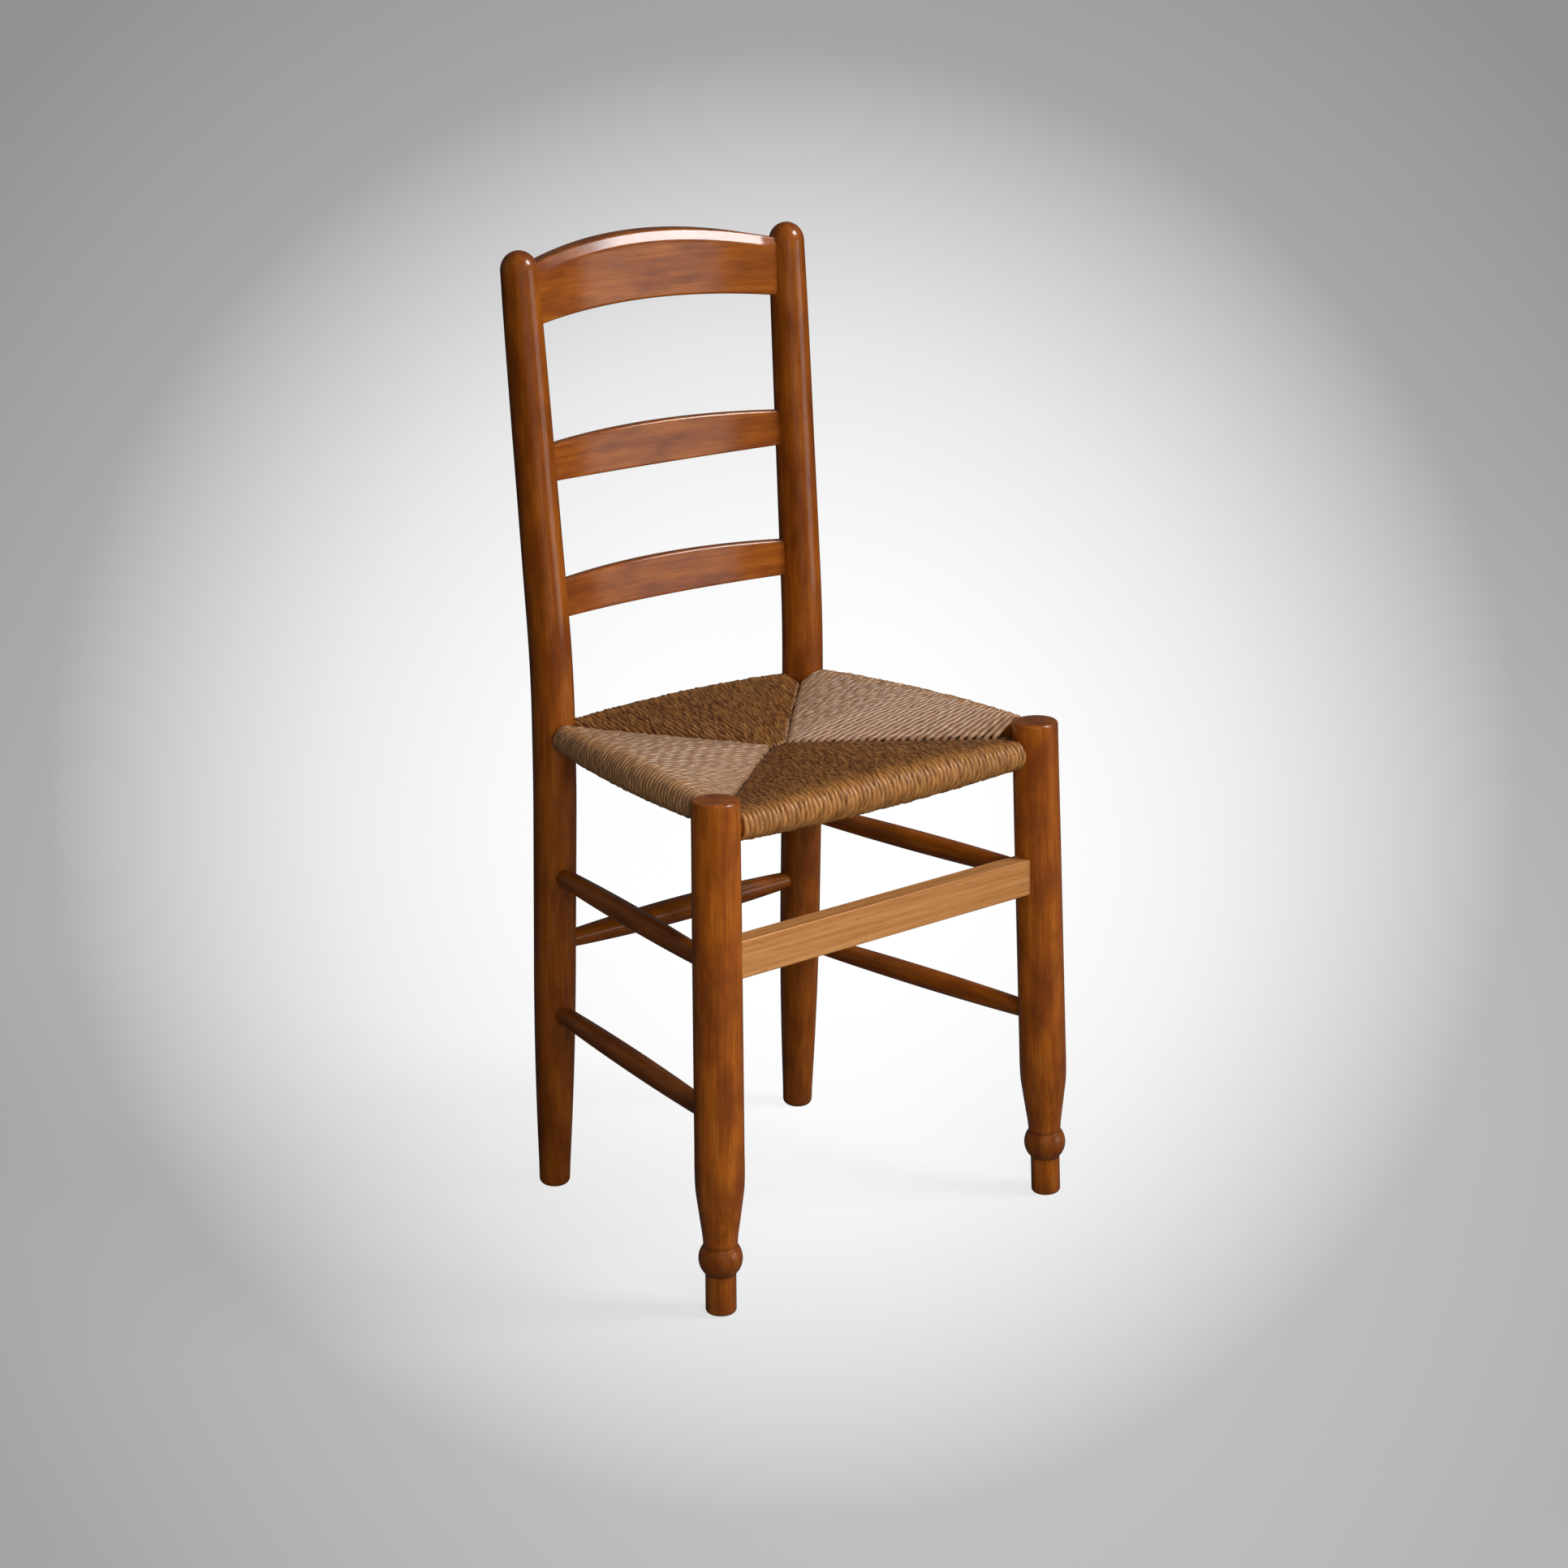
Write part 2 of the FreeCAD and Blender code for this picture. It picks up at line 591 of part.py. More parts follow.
def seam_corner(height_a, height_b):
    """Bottom and top heights of a seam at a corner, between two rails of these heights."""
    middle = mix(height_a, height_b, 0.5)
    half = RUSH_END_RADIUS - SEAM_CORNER_DROP
    return middle - half, middle + half


def seat_panels(front_ends, back_ends, side_ends):
    """The front, back and left panels of the rush seat; the right one mirrors the left."""
    leg_clear = LEG_RADIUS + RUSH_END_GAP
    post_clear = POST_RADIUS + RUSH_END_GAP
    hub_y = mix(front_ends[0].y, back_ends[0].y, 0.5)
    left_hub = Vector(-HUB_HALF_WIDTH, hub_y, 0)
    right_hub = Vector(HUB_HALF_WIDTH, hub_y, 0)
    low = seam_corner(FRONT_RAIL_HEIGHT, SIDE_RAIL_HEIGHT)
    high = seam_corner(BACK_RAIL_HEIGHT, SIDE_RAIL_HEIGHT)
    return {
        "front": Panel(*front_ends, leg_clear, leg_clear, left_hub, right_hub, low, low),
        "back": Panel(*back_ends[::-1], post_clear, post_clear, right_hub, left_hub, high, high),
        "left": Panel(*side_ends[::-1], post_clear, leg_clear, left_hub, left_hub, high, low),
    }


def main():
    nodes = build()
    low = min(shape.BoundBox.YMin for shape in nodes.values())
    high = max(shape.BoundBox.YMax for shape in nodes.values())
    os.makedirs("parts", exist_ok=True)
    for name, shape in nodes.items():
        shape.translate(Vector(0, -(low + high) / 2, 0))
        shape.exportStep("parts/" + name + ".step")
        print(name, len(shape.Solids), round(shape.Volume), shape.isValid())


main()
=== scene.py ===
import math
from typing import Callable, NamedTuple

import bmesh
import bpy
from mathutils import Matrix, Vector, noise


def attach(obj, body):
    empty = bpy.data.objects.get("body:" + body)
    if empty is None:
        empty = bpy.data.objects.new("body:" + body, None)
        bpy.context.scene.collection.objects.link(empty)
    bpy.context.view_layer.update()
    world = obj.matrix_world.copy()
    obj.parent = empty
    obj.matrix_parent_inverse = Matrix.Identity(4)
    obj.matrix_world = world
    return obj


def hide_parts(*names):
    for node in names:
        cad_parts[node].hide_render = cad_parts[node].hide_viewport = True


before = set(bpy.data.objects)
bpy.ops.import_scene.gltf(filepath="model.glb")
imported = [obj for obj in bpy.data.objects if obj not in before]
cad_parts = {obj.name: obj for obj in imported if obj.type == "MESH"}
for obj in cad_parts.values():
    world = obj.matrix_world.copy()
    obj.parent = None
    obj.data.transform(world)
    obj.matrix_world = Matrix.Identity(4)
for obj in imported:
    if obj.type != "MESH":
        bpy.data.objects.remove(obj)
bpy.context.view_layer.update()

bl_info = {
    "name": "Ladderback Chair",
    "version": (1, 0, 0),
    "blender": (4, 5, 0),
    "location": "3D View > Sidebar > Chair",
    "description": "Builds a turned ladderback chair with a woven rush seat",
    "category": "Object",
}

# Shapes are worked out in millimetres, with the floor at z 0, the front of the chair
# at -Y and its left at -X, and go into the meshes in metres.
MM = 0.001
SIDES = ((-1, "left"), (1, "right"))

# Front legs: height, and half width and depth of their axes at the foot and at the top
LEG_HEIGHT = 470.0
LEG_FOOT = (197.5, -169.6)
LEG_TOP = (185.0, -159.6)

# Back posts: half width, depth and height of their axes at the foot, both knees and the top,
# half the height of each bend, and the slope of their upper part
POST_SPOTS = (
    (152.0, 153.9, 0.0), (148.5, 134.3, 408.0), (148.5, 132.3, 518.0), (153.0, 156.9, 900.0))
POST_BENDS = (35.0, 46.0)
POST_RAKE = 0.0644

# Heights of the stretchers' axes and of the front board's middle
SIDE_STRETCHERS = (("upper", 321.0), ("lower", 182.0))
BACK_STRETCHER = 250.0
FRONT_BOARD = 324.5

# Turned pieces close on a small flat of this radius, and a sharp edge is two rings this close.
# All tenons end the same distance from the axis of their leg or post.
TIP_RADIUS = 0.6
EDGE_STEP = 0.02
TENON_TIP_TO_AXIS = 8.5

# Rush seat: heights of the rails' axes, half width of the hub in the middle and its depth,
# radius of the rolled edges at their ends and middle, and room round the legs and posts
FRONT_RAIL = 441.5
BACK_RAIL = 453.5
SIDE_RAIL = 457.5
HUB_HALF_WIDTH = 9.0
HUB_DEPTH = -13.4
ROLL_END_RADIUS = 13.5
ROLL_MID_RADIUS = 17.5
LEG_CLEAR = 22.7
POST_CLEAR = 20.9

# Heights of the strands' outer surface along the seams. Front and back: (corner, hub) on top
# and below. Sides: front corner, back corner and hub.
FRONT_SEAMS = ((454.5, 452.5), (432.0, 430.0))
BACK_SEAMS = ((465.0, 452.5), (444.0, 430.0))
SIDE_SEAM_TOP = (458.5, 467.0, 453.5)
SIDE_SEAM_LOW = (439.0, 446.0, 430.0)

# Strands narrow by this share where they dive into a seam, from this far away from it, and
# they are rubbed pale this far in from the rail. Side panels carry a grey painted sheen, more in
# the middle than near the rail.
SEAM_PINCH = {"front": 0.2, "back": 0.42, "left": 0.2, "right": 0.42}
PINCH_REACH = 13.0
RUBBED_REACH = 14.0
SIDE_PAINTED_SHEEN = (0.55, 0.3)


def mix(a, b, t):
    return a + (b - a) * t


def linear(hex_colour):
    """Linear red, green and blue of an sRGB hex colour."""
    channels = (int(hex_colour[i:i + 2], 16) / 255 for i in (1, 3, 5))
    return tuple(c / 12.92 if c <= 0.04045 else ((c + 0.055) / 1.055) ** 2.4 for c in channels)


def size_property(name, text, metres):
    return bpy.props.FloatProperty(name=name, description=text, default=metres, min=0.0,
                                   unit="LENGTH", precision=5)


def colour_property(name, text, hex_colour):
    return bpy.props.FloatVectorProperty(name=name, description=text, default=linear(hex_colour),
                                         size=3, subtype="COLOR", min=0.0, max=1.0)


class ChairSizes(bpy.types.PropertyGroup):
    """Sizes of the details that the looks add to the chair."""
    turning_segments: bpy.props.IntProperty(
        name="Turning Segments", description="Faces round each turned piece",
        default=56, min=12, max=128)
    front_strands: bpy.props.IntProperty(
        name="Front Strands", description="Strands of rush over the front rail",
        default=66, min=10, max=120)
    strand_step: size_property("Strand Step", "Distance between rings along a strand", 0.003)
    strand_girth: size_property("Strand Thickness", "Thickness of a twisted strand of rush", 0.0053)
    strand_twist: size_property("Twist Length", "Length of one turn of a strand's twist", 0.032)
    crest_bevel: bpy.props.FloatVectorProperty(
        name="Crest Bevel", description="Depth and height of the bevel on the crest's front edge",
        default=(0.0044, 0.0105), size=2, unit="LENGTH", precision=5)
    slat_ease: size_property("Slat Rounding", "Rounding of the slats' edges", 0.0018)
    board_ease: size_property("Board Rounding", "Rounding of the front board's edges", 0.0014)


class ChairColours(bpy.types.PropertyGroup):
    """Colours of the chair's finishes."""
    stain_dark: colour_property("Dark Stain", "Stain where it sank into the grain", "#6E340A")
    stain_mid: colour_property("Stain", "Most of the stained wood", "#A2540F")
    stain_light: colour_property("Light Stain", "Stained wood between the grain lines", "#BC7024")
    stain_red: colour_property("Red Stain", "Redder patches of the stain", "#74350C")
    board_dark: colour_property("Board Grain", "Grain lines of the front board", "#AE7038")
    board_light: colour_property("Board", "Wood of the front board", "#C98E55")
    rush_gold: colour_property("Golden Rush", "Lighter stalks of the rush", "#BE8446")
    rush_brown: colour_property("Brown Rush", "Darker stalks of the rush", "#66391F")
    # A grey painted sheen, laid on the side panels only
    rush_sheen_grey: colour_property("Grey Rush", "Grey painted sheen of the side panels", "#B89478")


class StageSettings(bpy.types.PropertyGroup):
    """Light and floor round the chair."""
    key_power: bpy.props.FloatProperty(
        name="Key Light", description="Power of the high soft light from the right",
        default=60.0, min=0.0, unit="POWER")
    fill_power: bpy.props.FloatProperty(
        name="Fill Light", description="Power of the close light from the front left",
        default=13.5, min=0.0, unit="POWER")
    sky_strength: bpy.props.FloatProperty(
        name="Room Light", description="Strength of the light from all round",
        default=0.07, min=0.0)
    window_power: bpy.props.FloatProperty(
        name="Window Light", description="Power of the widest of the low lights from the right",
        default=8.0, min=0.0, unit="POWER")
    # Colours of the floor's painted pool of light, a glow from the chair out to the far floor
    painted_pool_near: colour_property("Floor", "Floor round the chair", "#FDFDFD")
    painted_pool_middle: colour_property("Floor Middle", "Floor a little way from the chair", "#EAEAEA")
    painted_pool_edge: colour_property("Floor Edge", "Floor near the edge of the pool of light", "#A7A7A7")
    painted_pool_far: colour_property("Far Floor", "Floor outside the pool of light", "#929292")


def add_node(tree, kind, links=None, stops=None, **settings):
    """Add a node with its settings, input values or links, and the stops of a ramp."""
    node = tree.nodes.new(kind)
    for name, value in settings.items():
        setattr(node, name, value)
    for socket, value in (links or {}).items():
        names = [s.identifier for s in node.inputs]
        target = node.inputs[names.index(socket) if socket in names else socket]
        if isinstance(value, bpy.types.NodeSocket):
            tree.links.new(value, target)
        else:
            target.default_value = value
    if stops:
        ramp = node.color_ramp
        while len(ramp.elements) < len(stops):
            ramp.elements.new(1.0)
        for element, (place, colour) in zip(ramp.elements, stops):
            element.position = place
            element.color = (*colour, 1.0)
    return node


def new_material(name):
    """An empty node material, its tree and its principled shader."""
    material = bpy.data.materials.new(name)
    material.use_nodes = True
    tree = material.node_tree
    return material, tree, tree.nodes["Principled BSDF"]


def stained_beech(colours):
    """Beech, turned and shaped, stained golden brown and lacquered.

    The stain sinks unevenly: fine streaks along the grain, and cloudy darker and redder
    patches. A stored darkening adds painted shade in the turned grooves and makes some parts a
    little darker all over. All of it lies under a thin glossy coat."""
    material, tree, shader = new_material("lacquered_beech")
    grain = add_node(tree, "ShaderNodeAttribute", attribute_name="grain")
    painted_shade_and_darkening = add_node(tree, "ShaderNodeAttribute", attribute_name="painted_shade_and_darkening")
    # Each layer's size across the grain, how much longer it is along it, and its detail
    layers = {}
    for layer, size, stretch, detail in (
            ("fibres", 0.0011, 45.0, 4.0), ("streaks", 0.006, 14.0, 3.0),
            ("clouds", 0.021, 2.6, 3.0), ("flecks", 0.0005, 9.0, 1.0)):
        place = add_node(tree, "ShaderNodeMapping", {
            "Vector": grain.outputs["Vector"], "Scale": (1.0, 1.0, 1 / stretch)})
        layers[layer] = add_node(tree, "ShaderNodeTexNoise", {
            "Vector": place.outputs["Vector"], "Scale": 1 / size, "Detail": detail,
            "Roughness": 0.55}).outputs["Fac"]
    figure = add_node(tree, "ShaderNodeMix", {
        "Factor_Float": 0.5, "A_Float": layers["streaks"], "B_Float": layers["fibres"]})
    body = add_node(tree, "ShaderNodeValToRGB", {"Fac": figure.outputs["Result"]}, stops=[
        (0.26, colours.stain_dark), (0.50, colours.stain_mid), (0.74, colours.stain_light)])
    cloudy = add_node(tree, "ShaderNodeMapRange", {
        "Value": layers["clouds"], "From Min": 0.4, "From Max": 0.68, "To Max": 0.85})
    clouded = add_node(tree, "ShaderNodeMix", {
        "Factor_Float": cloudy.outputs["Result"], "A_Color": body.outputs["Color"],
        "B_Color": (*colours.stain_red, 1.0)}, data_type="RGBA")
    pores = add_node(tree, "ShaderNodeMapRange", {
        "Value": layers["flecks"], "From Min": 0.66, "From Max": 0.78, "To Max": 0.3})
    # Painted shade in the grooves, and plain darkening elsewhere, from the stored value
    scaled_darkening = add_node(tree, "ShaderNodeMath", {
        0: painted_shade_and_darkening.outputs["Fac"], 1: 0.6}, operation="MULTIPLY")
    darkness = add_node(tree, "ShaderNodeMath", {
        0: pores.outputs["Result"], 1: scaled_darkening.outputs["Value"]}, operation="ADD", use_clamp=True)
    finished = add_node(tree, "ShaderNodeMix", {
        "Factor_Float": darkness.outputs["Value"], "A_Color": clouded.outputs[2],
        "B_Color": (*(c * 0.25 for c in colours.stain_dark), 1.0)}, data_type="RGBA")
    tree.links.new(finished.outputs[2], shader.inputs["Base Color"])
    gloss = add_node(tree, "ShaderNodeMapRange", {
        "Value": layers["clouds"], "From Min": 0.3, "From Max": 0.7, "To Min": 0.36, "To Max": 0.5})
    tree.links.new(gloss.outputs["Result"], shader.inputs["Roughness"])
    # Grain under the lacquer, a few hundredths of a millimetre deep
    relief = add_node(tree, "ShaderNodeBump", {
        "Height": layers["fibres"], "Strength": 0.2, "Distance": 0.00015})
    tree.links.new(relief.outputs["Normal"], shader.inputs["Normal"])
    for name, value in (("IOR", 1.5), ("Specular IOR Level", 0.16), ("Coat Weight", 0.8),
                        ("Coat Roughness", 0.13), ("Coat IOR", 1.5)):
        shader.inputs[name].default_value = value
    return material


def satin_oak(colours):
    """Oak, sawn and planed, with a thin satin varnish.

    Paler and less red than the stained wood, with straight lengthwise pores and streaks."""
    material, tree, shader = new_material("satin_oak")
    grain = add_node(tree, "ShaderNodeAttribute", attribute_name="grain")
    # Oak pores are finer; they are drawn about a millimetre wide so that they show
    layers = {}
    for layer, size, stretch, detail, roughness in (
            ("streaks", 0.0042, 50.0, 4.0, 0.6), ("pores", 0.0011, 20.0, 3.0, 0.5)):
        place = add_node(tree, "ShaderNodeMapping", {
            "Vector": grain.outputs["Vector"], "Scale": (1.0, 1.0, 1 / stretch)})
        layers[layer] = add_node(tree, "ShaderNodeTexNoise", {
            "Vector": place.outputs["Vector"], "Scale": 1 / size, "Detail": detail,
            "Roughness": roughness}).outputs["Fac"]
    body = add_node(tree, "ShaderNodeMapRange", {
        "Value": layers["streaks"], "From Min": 0.34, "From Max": 0.66})
    base = add_node(tree, "ShaderNodeMix", {
        "Factor_Float": body.outputs["Result"], "A_Color": (*colours.board_dark, 1.0),
        "B_Color": (*colours.board_light, 1.0)}, data_type="RGBA")
    open_pores = add_node(tree, "ShaderNodeMapRange", {
        "Value": layers["pores"], "From Min": 0.56, "From Max": 0.72, "To Max": 0.6})
    pored = add_node(tree, "ShaderNodeMix", {
        "Factor_Float": open_pores.outputs["Result"], "A_Color": base.outputs[2],
        "B_Color": (*(c * 0.55 for c in colours.board_dark), 1.0)}, data_type="RGBA")
    tree.links.new(pored.outputs[2], shader.inputs["Base Color"])
    relief = add_node(tree, "ShaderNodeBump", {
        "Height": layers["pores"], "Strength": 0.4, "Distance": 0.0003}, invert=True)
    tree.links.new(relief.outputs["Normal"], shader.inputs["Normal"])
    for name, value in (("Roughness", 0.45), ("IOR", 1.5), ("Specular IOR Level", 0.25),
                        ("Coat Weight", 0.2), ("Coat Roughness", 0.25)):
        shader.inputs[name].default_value = value
    return material


def twisted_rush(colours):
    """Bulrush stalks, twisted by hand into strands and varnished.

    Golden and brown stalks change along each strand, with fine lengthwise ribs that
    follow the twist and a soft shine. A grey painted sheen lies on the side panels."""
    material, tree, shader = new_material("twisted_rush")
    fibre, strand, painted_sheen, worn = (
        add_node(tree, "ShaderNodeAttribute", attribute_name=name).outputs[output]
        for name, output in (
            ("fibre", "Vector"), ("strand", "Fac"), ("painted_sheen", "Fac"), ("worn", "Fac")))
    # Each strand reads its own part of the patterns
    shift = add_node(tree, "ShaderNodeCombineXYZ", {"Z": strand})
    own = add_node(tree, "ShaderNodeVectorMath", {0: fibre, 1: shift.outputs["Vector"]})
    # Each layer's size across a strand, how it is drawn out along it, and its detail
    layers = {}
    for layer, size, squeeze, detail, roughness in (
            ("stalks", 0.0021, 0.08, 3.0, 0.6), ("ribs", 0.0005, 0.03, 2.0, 0.5)):
        place = add_node(tree, "ShaderNodeMapping", {
            "Vector": own.outputs["Vector"], "Scale": (1.0, 1.0, squeeze)})
        layers[layer] = add_node(tree, "ShaderNodeTexNoise", {
            "Vector": place.outputs["Vector"], "Scale": 1 / size, "Detail": detail,
            "Roughness": roughness}).outputs["Fac"]
    blend = add_node(tree, "ShaderNodeMapRange", {
        "Value": layers["stalks"], "From Min": 0.36, "From Max": 0.7})
    rubbed = add_node(tree, "ShaderNodeMath", {
        0: worn, 1: 0.3, 2: blend.outputs["Result"]}, operation="MULTIPLY_ADD", use_clamp=True)
    gold = add_node(tree, "ShaderNodeMix", {
        "Factor_Float": rubbed.outputs["Value"], "A_Color": (*colours.rush_brown, 1.0),
        "B_Color": (*colours.rush_gold, 1.0)}, data_type="RGBA")
    # The side panels are greyed by a painted sheen
    with_painted_sheen = add_node(tree, "ShaderNodeMix", {
        "Factor_Float": painted_sheen, "A_Color": gold.outputs[2],
        "B_Color": (*colours.rush_sheen_grey, 1.0)}, data_type="RGBA")
    lighter = add_node(tree, "ShaderNodeMapRange", {
        "Value": layers["ribs"], "From Min": 0.3, "From Max": 0.7, "To Min": 0.62, "To Max": 1.18})
    ribbed = add_node(tree, "ShaderNodeVectorMath", {
        0: with_painted_sheen.outputs[2], "Scale": lighter.outputs["Result"]}, operation="SCALE")
    tree.links.new(ribbed.outputs["Vector"], shader.inputs["Base Color"])
    relief = add_node(tree, "ShaderNodeBump", {
        "Height": layers["ribs"], "Strength": 0.5, "Distance": 0.0004})
    tree.links.new(relief.outputs["Normal"], shader.inputs["Normal"])
    for name, value in (("Roughness", 0.38), ("IOR", 1.48), ("Coat Weight", 0.3),
                        ("Coat Roughness", 0.32)):
        shader.inputs[name].default_value = value
    return material


def loose_rush(colours):
    """Offcuts of dry rush, pushed between the layers of the seat: dull, broken and dusty."""
    material, tree, shader = new_material("loose_rush")
    place = add_node(tree, "ShaderNodeTexCoord")
    straws_at = add_node(tree, "ShaderNodeMapping", {
        "Vector": place.outputs["Object"], "Scale": (1.0, 0.12, 1.0)})
    straws = add_node(tree, "ShaderNodeTexNoise", {
        "Vector": straws_at.outputs["Vector"], "Scale": 1 / 0.003, "Detail": 4.0})
    body = add_node(tree, "ShaderNodeMix", {
        "Factor_Float": straws.outputs["Fac"],
        "A_Color": (*(c * 0.3 for c in colours.rush_brown), 1.0),
        "B_Color": (*(c * 0.6 for c in colours.rush_gold), 1.0)}, data_type="RGBA")
    tree.links.new(body.outputs[2], shader.inputs["Base Color"])
    relief = add_node(tree, "ShaderNodeBump", {
        "Height": straws.outputs["Fac"], "Strength": 0.8, "Distance": 0.001})
    tree.links.new(relief.outputs["Normal"], shader.inputs["Normal"])
    shader.inputs["Roughness"].default_value = 0.8
    return material


FINISHES = {
    "lacquered_wood": ("lacquered_beech", stained_beech), "pale_wood": ("satin_oak", satin_oak),
    "rush": ("twisted_rush", twisted_rush), "stuffing": ("loose_rush", loose_rush)}


def material_for(slot, context):
    """The chair's material for a slot of the record, made the first time it is asked for."""
    name, make = FINISHES[slot]
    return bpy.data.materials.get(name) or make(context.scene.chair_colours)


def new_object(name, points, edges, faces, context):
    """Object at the origin from points in millimetres."""
    mesh = bpy.data.meshes.new(name)
    mesh.from_pydata([Vector(point) * MM for point in points], edges, faces)
    mesh.update()
    piece = bpy.data.objects.new(name, mesh)
    context.scene.collection.objects.link(piece)
    return piece


def store(mesh, name, kind, values):
    """Store one value for each point of a mesh."""
    layer = mesh.attributes.new(name, kind, "POINT")
    flat = [part for value in values for part in value] if kind == "FLOAT_VECTOR" else list(values)
    layer.data.foreach_set("vector" if kind == "FLOAT_VECTOR" else "value", flat)


def face_outwards(mesh):
    shape = bmesh.new()
    shape.from_mesh(mesh)
    bmesh.ops.recalc_face_normals(shape, faces=shape.faces)
    shape.to_mesh(mesh)
    shape.free()


def seat_in_frame(piece, slot, *nodes):
    """Hand a finished piece over in place of its CAD nodes."""
    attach(piece, "root")
    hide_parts(*nodes)


def new_tree(name, inputs):
    """A geometry tree with named inputs, and its input node."""
    tree = bpy.data.node_groups.new(name, "GeometryNodeTree")
    for label, kind in (("Geometry", "NodeSocketGeometry"), *inputs):
        tree.interface.new_socket(name=label, in_out="INPUT", socket_type=kind)
    tree.interface.new_socket(name="Geometry", in_out="OUTPUT", socket_type="NodeSocketGeometry")
    return tree, tree.nodes.new("NodeGroupInput")


def finish_tree(tree, source, geometry):
    """End a geometry tree in Realize Instances and Set Material."""
    real = add_node(tree, "GeometryNodeRealizeInstances", {"Geometry": geometry})
    coloured = add_node(tree, "GeometryNodeSetMaterial", {
        "Geometry": real.outputs["Geometry"], "Material": source.outputs["Material"]})
    add_node(tree, "NodeGroupOutput", {"Geometry": coloured.outputs["Geometry"]})


def run_tree(piece, tree, values, context):
    """Run a geometry tree on a piece and keep its result as a plain mesh."""
    modifier = piece.modifiers.new(tree.name, "NODES")
    modifier.node_group = tree
    for socket in tree.interface.items_tree:
        if socket.name in values:
            modifier[socket.identifier] = values[socket.name]
    context.view_layer.update()
    evaluated = piece.evaluated_get(context.evaluated_depsgraph_get())
    mesh = bpy.data.meshes.new_from_object(evaluated)
    piece.modifiers.remove(modifier)
    piece.data = mesh
    mesh.name = piece.name
    face_outwards(mesh)
    return mesh


def turning_tree():
    """Geometry tree that turns a round piece along its axis, with the wood's grain along it."""
    tree, source = new_tree("Turned Along Axis", [
        ("Segments", "NodeSocketInt"), ("Grain Offset", "NodeSocketVector"),
        ("Material", "NodeSocketMaterial")])
    axis = add_node(tree, "GeometryNodeMeshToCurve", {"Mesh": source.outputs["Geometry"]})
    length = add_node(tree, "GeometryNodeSplineParameter")
    with_length = add_node(tree, "GeometryNodeCaptureAttribute", {
        "Geometry": axis.outputs["Curve"]})
    with_length.capture_items.new("FLOAT", "along")
    tree.links.new(length.outputs["Length"], with_length.inputs[1])
    circle = add_node(tree, "GeometryNodeCurvePrimitiveCircle", {
        "Resolution": source.outputs["Segments"], "Radius": 1.0}, mode="RADIUS")
    spot = add_node(tree, "GeometryNodeInputPosition")
    with_rim = add_node(tree, "GeometryNodeCaptureAttribute", {"Geometry": circle.outputs["Curve"]})
    with_rim.capture_items.new("VECTOR", "rim")
    tree.links.new(spot.outputs["Position"], with_rim.inputs[1])
    girth = add_node(tree, "GeometryNodeInputNamedAttribute", {"Name": "girth"}, data_type="FLOAT")
    skin = add_node(tree, "GeometryNodeCurveToMesh", {
        "Curve": with_length.outputs["Geometry"], "Profile Curve": with_rim.outputs["Geometry"],
        "Scale": girth.outputs["Attribute"], "Fill Caps": True})
    across = add_node(tree, "ShaderNodeVectorMath", {
        0: with_rim.outputs[1], "Scale": girth.outputs["Attribute"]}, operation="SCALE")
    up = add_node(tree, "ShaderNodeCombineXYZ", {"Z": with_length.outputs[1]})
    local = add_node(tree, "ShaderNodeVectorMath", {
        0: across.outputs["Vector"], 1: up.outputs["Vector"]})
    moved = add_node(tree, "ShaderNodeVectorMath", {
        0: local.outputs["Vector"], 1: source.outputs["Grain Offset"]})
    stored = add_node(tree, "GeometryNodeStoreNamedAttribute", {
        "Geometry": skin.outputs["Mesh"], "Name": "grain", "Value": moved.outputs["Vector"]},
        data_type="FLOAT_VECTOR", domain="POINT")
    smooth = add_node(tree, "GeometryNodeSetShadeSmooth", {"Geometry": stored.outputs["Geometry"]})
    finish_tree(tree, source, smooth.outputs["Geometry"])
    return tree


def turned_piece(name, centre_at, profile, grain_offset, context):
    """Turn a round piece through (station, radius, recess) spots; centre_at places a station."""
    points = [centre_at(station) for station, radius, painted_shade_and_darkening in profile]
    edges = [(i, i + 1) for i in range(len(points) - 1)]
    piece = new_object("finished_" + name, points, edges, [], context)
    store(piece.data, "girth", "FLOAT", [radius * MM for station, radius, painted_shade_and_darkening in profile])
    store(piece.data, "painted_shade_and_darkening", "FLOAT", [painted_shade_and_darkening for station, radius, painted_shade_and_darkening in profile])
    tree = bpy.data.node_groups.get("Turned Along Axis") or turning_tree()
    mesh = run_tree(piece, tree, {
        "Segments": context.scene.chair_sizes.turning_segments, "Grain Offset": grain_offset,
        "Material": material_for("lacquered_wood", context)}, context)
    # A leaning leg's foot is cut flat on the floor
    for vertex in mesh.vertices:
        vertex.co.z = max(vertex.co.z, 0.0)
    seat_in_frame(piece, "lacquered_wood", name)


def curve_through(spots, step):
    """Smooth (station, radius) run through spots, with no overshoot between them."""
    slopes = []
    gradients = [(b[1] - a[1]) / (b[0] - a[0]) for a, b in zip(spots, spots[1:])]
    for i in range(len(spots)):
        before = gradients[max(0, i - 1)]
        after = gradients[min(len(gradients) - 1, i)]
        slopes.append(0.0 if before * after < 0 else (before + after) / 2)
    run = [spots[0]]
    for (a, b), (low, high) in zip(zip(spots, spots[1:]), zip(slopes, slopes[1:])):
        width = b[0] - a[0]
        count = max(1, math.ceil(width / step))
        for i in range(1, count + 1):
            t = i / count
            value = ((2 * t ** 3 - 3 * t ** 2 + 1) * a[1] + (t ** 3 - 2 * t ** 2 + t) * width * low
                     + (3 * t ** 2 - 2 * t ** 3) * b[1] + (t ** 3 - t ** 2) * width * high)
            run.append((a[0] + width * t, value))
    return run


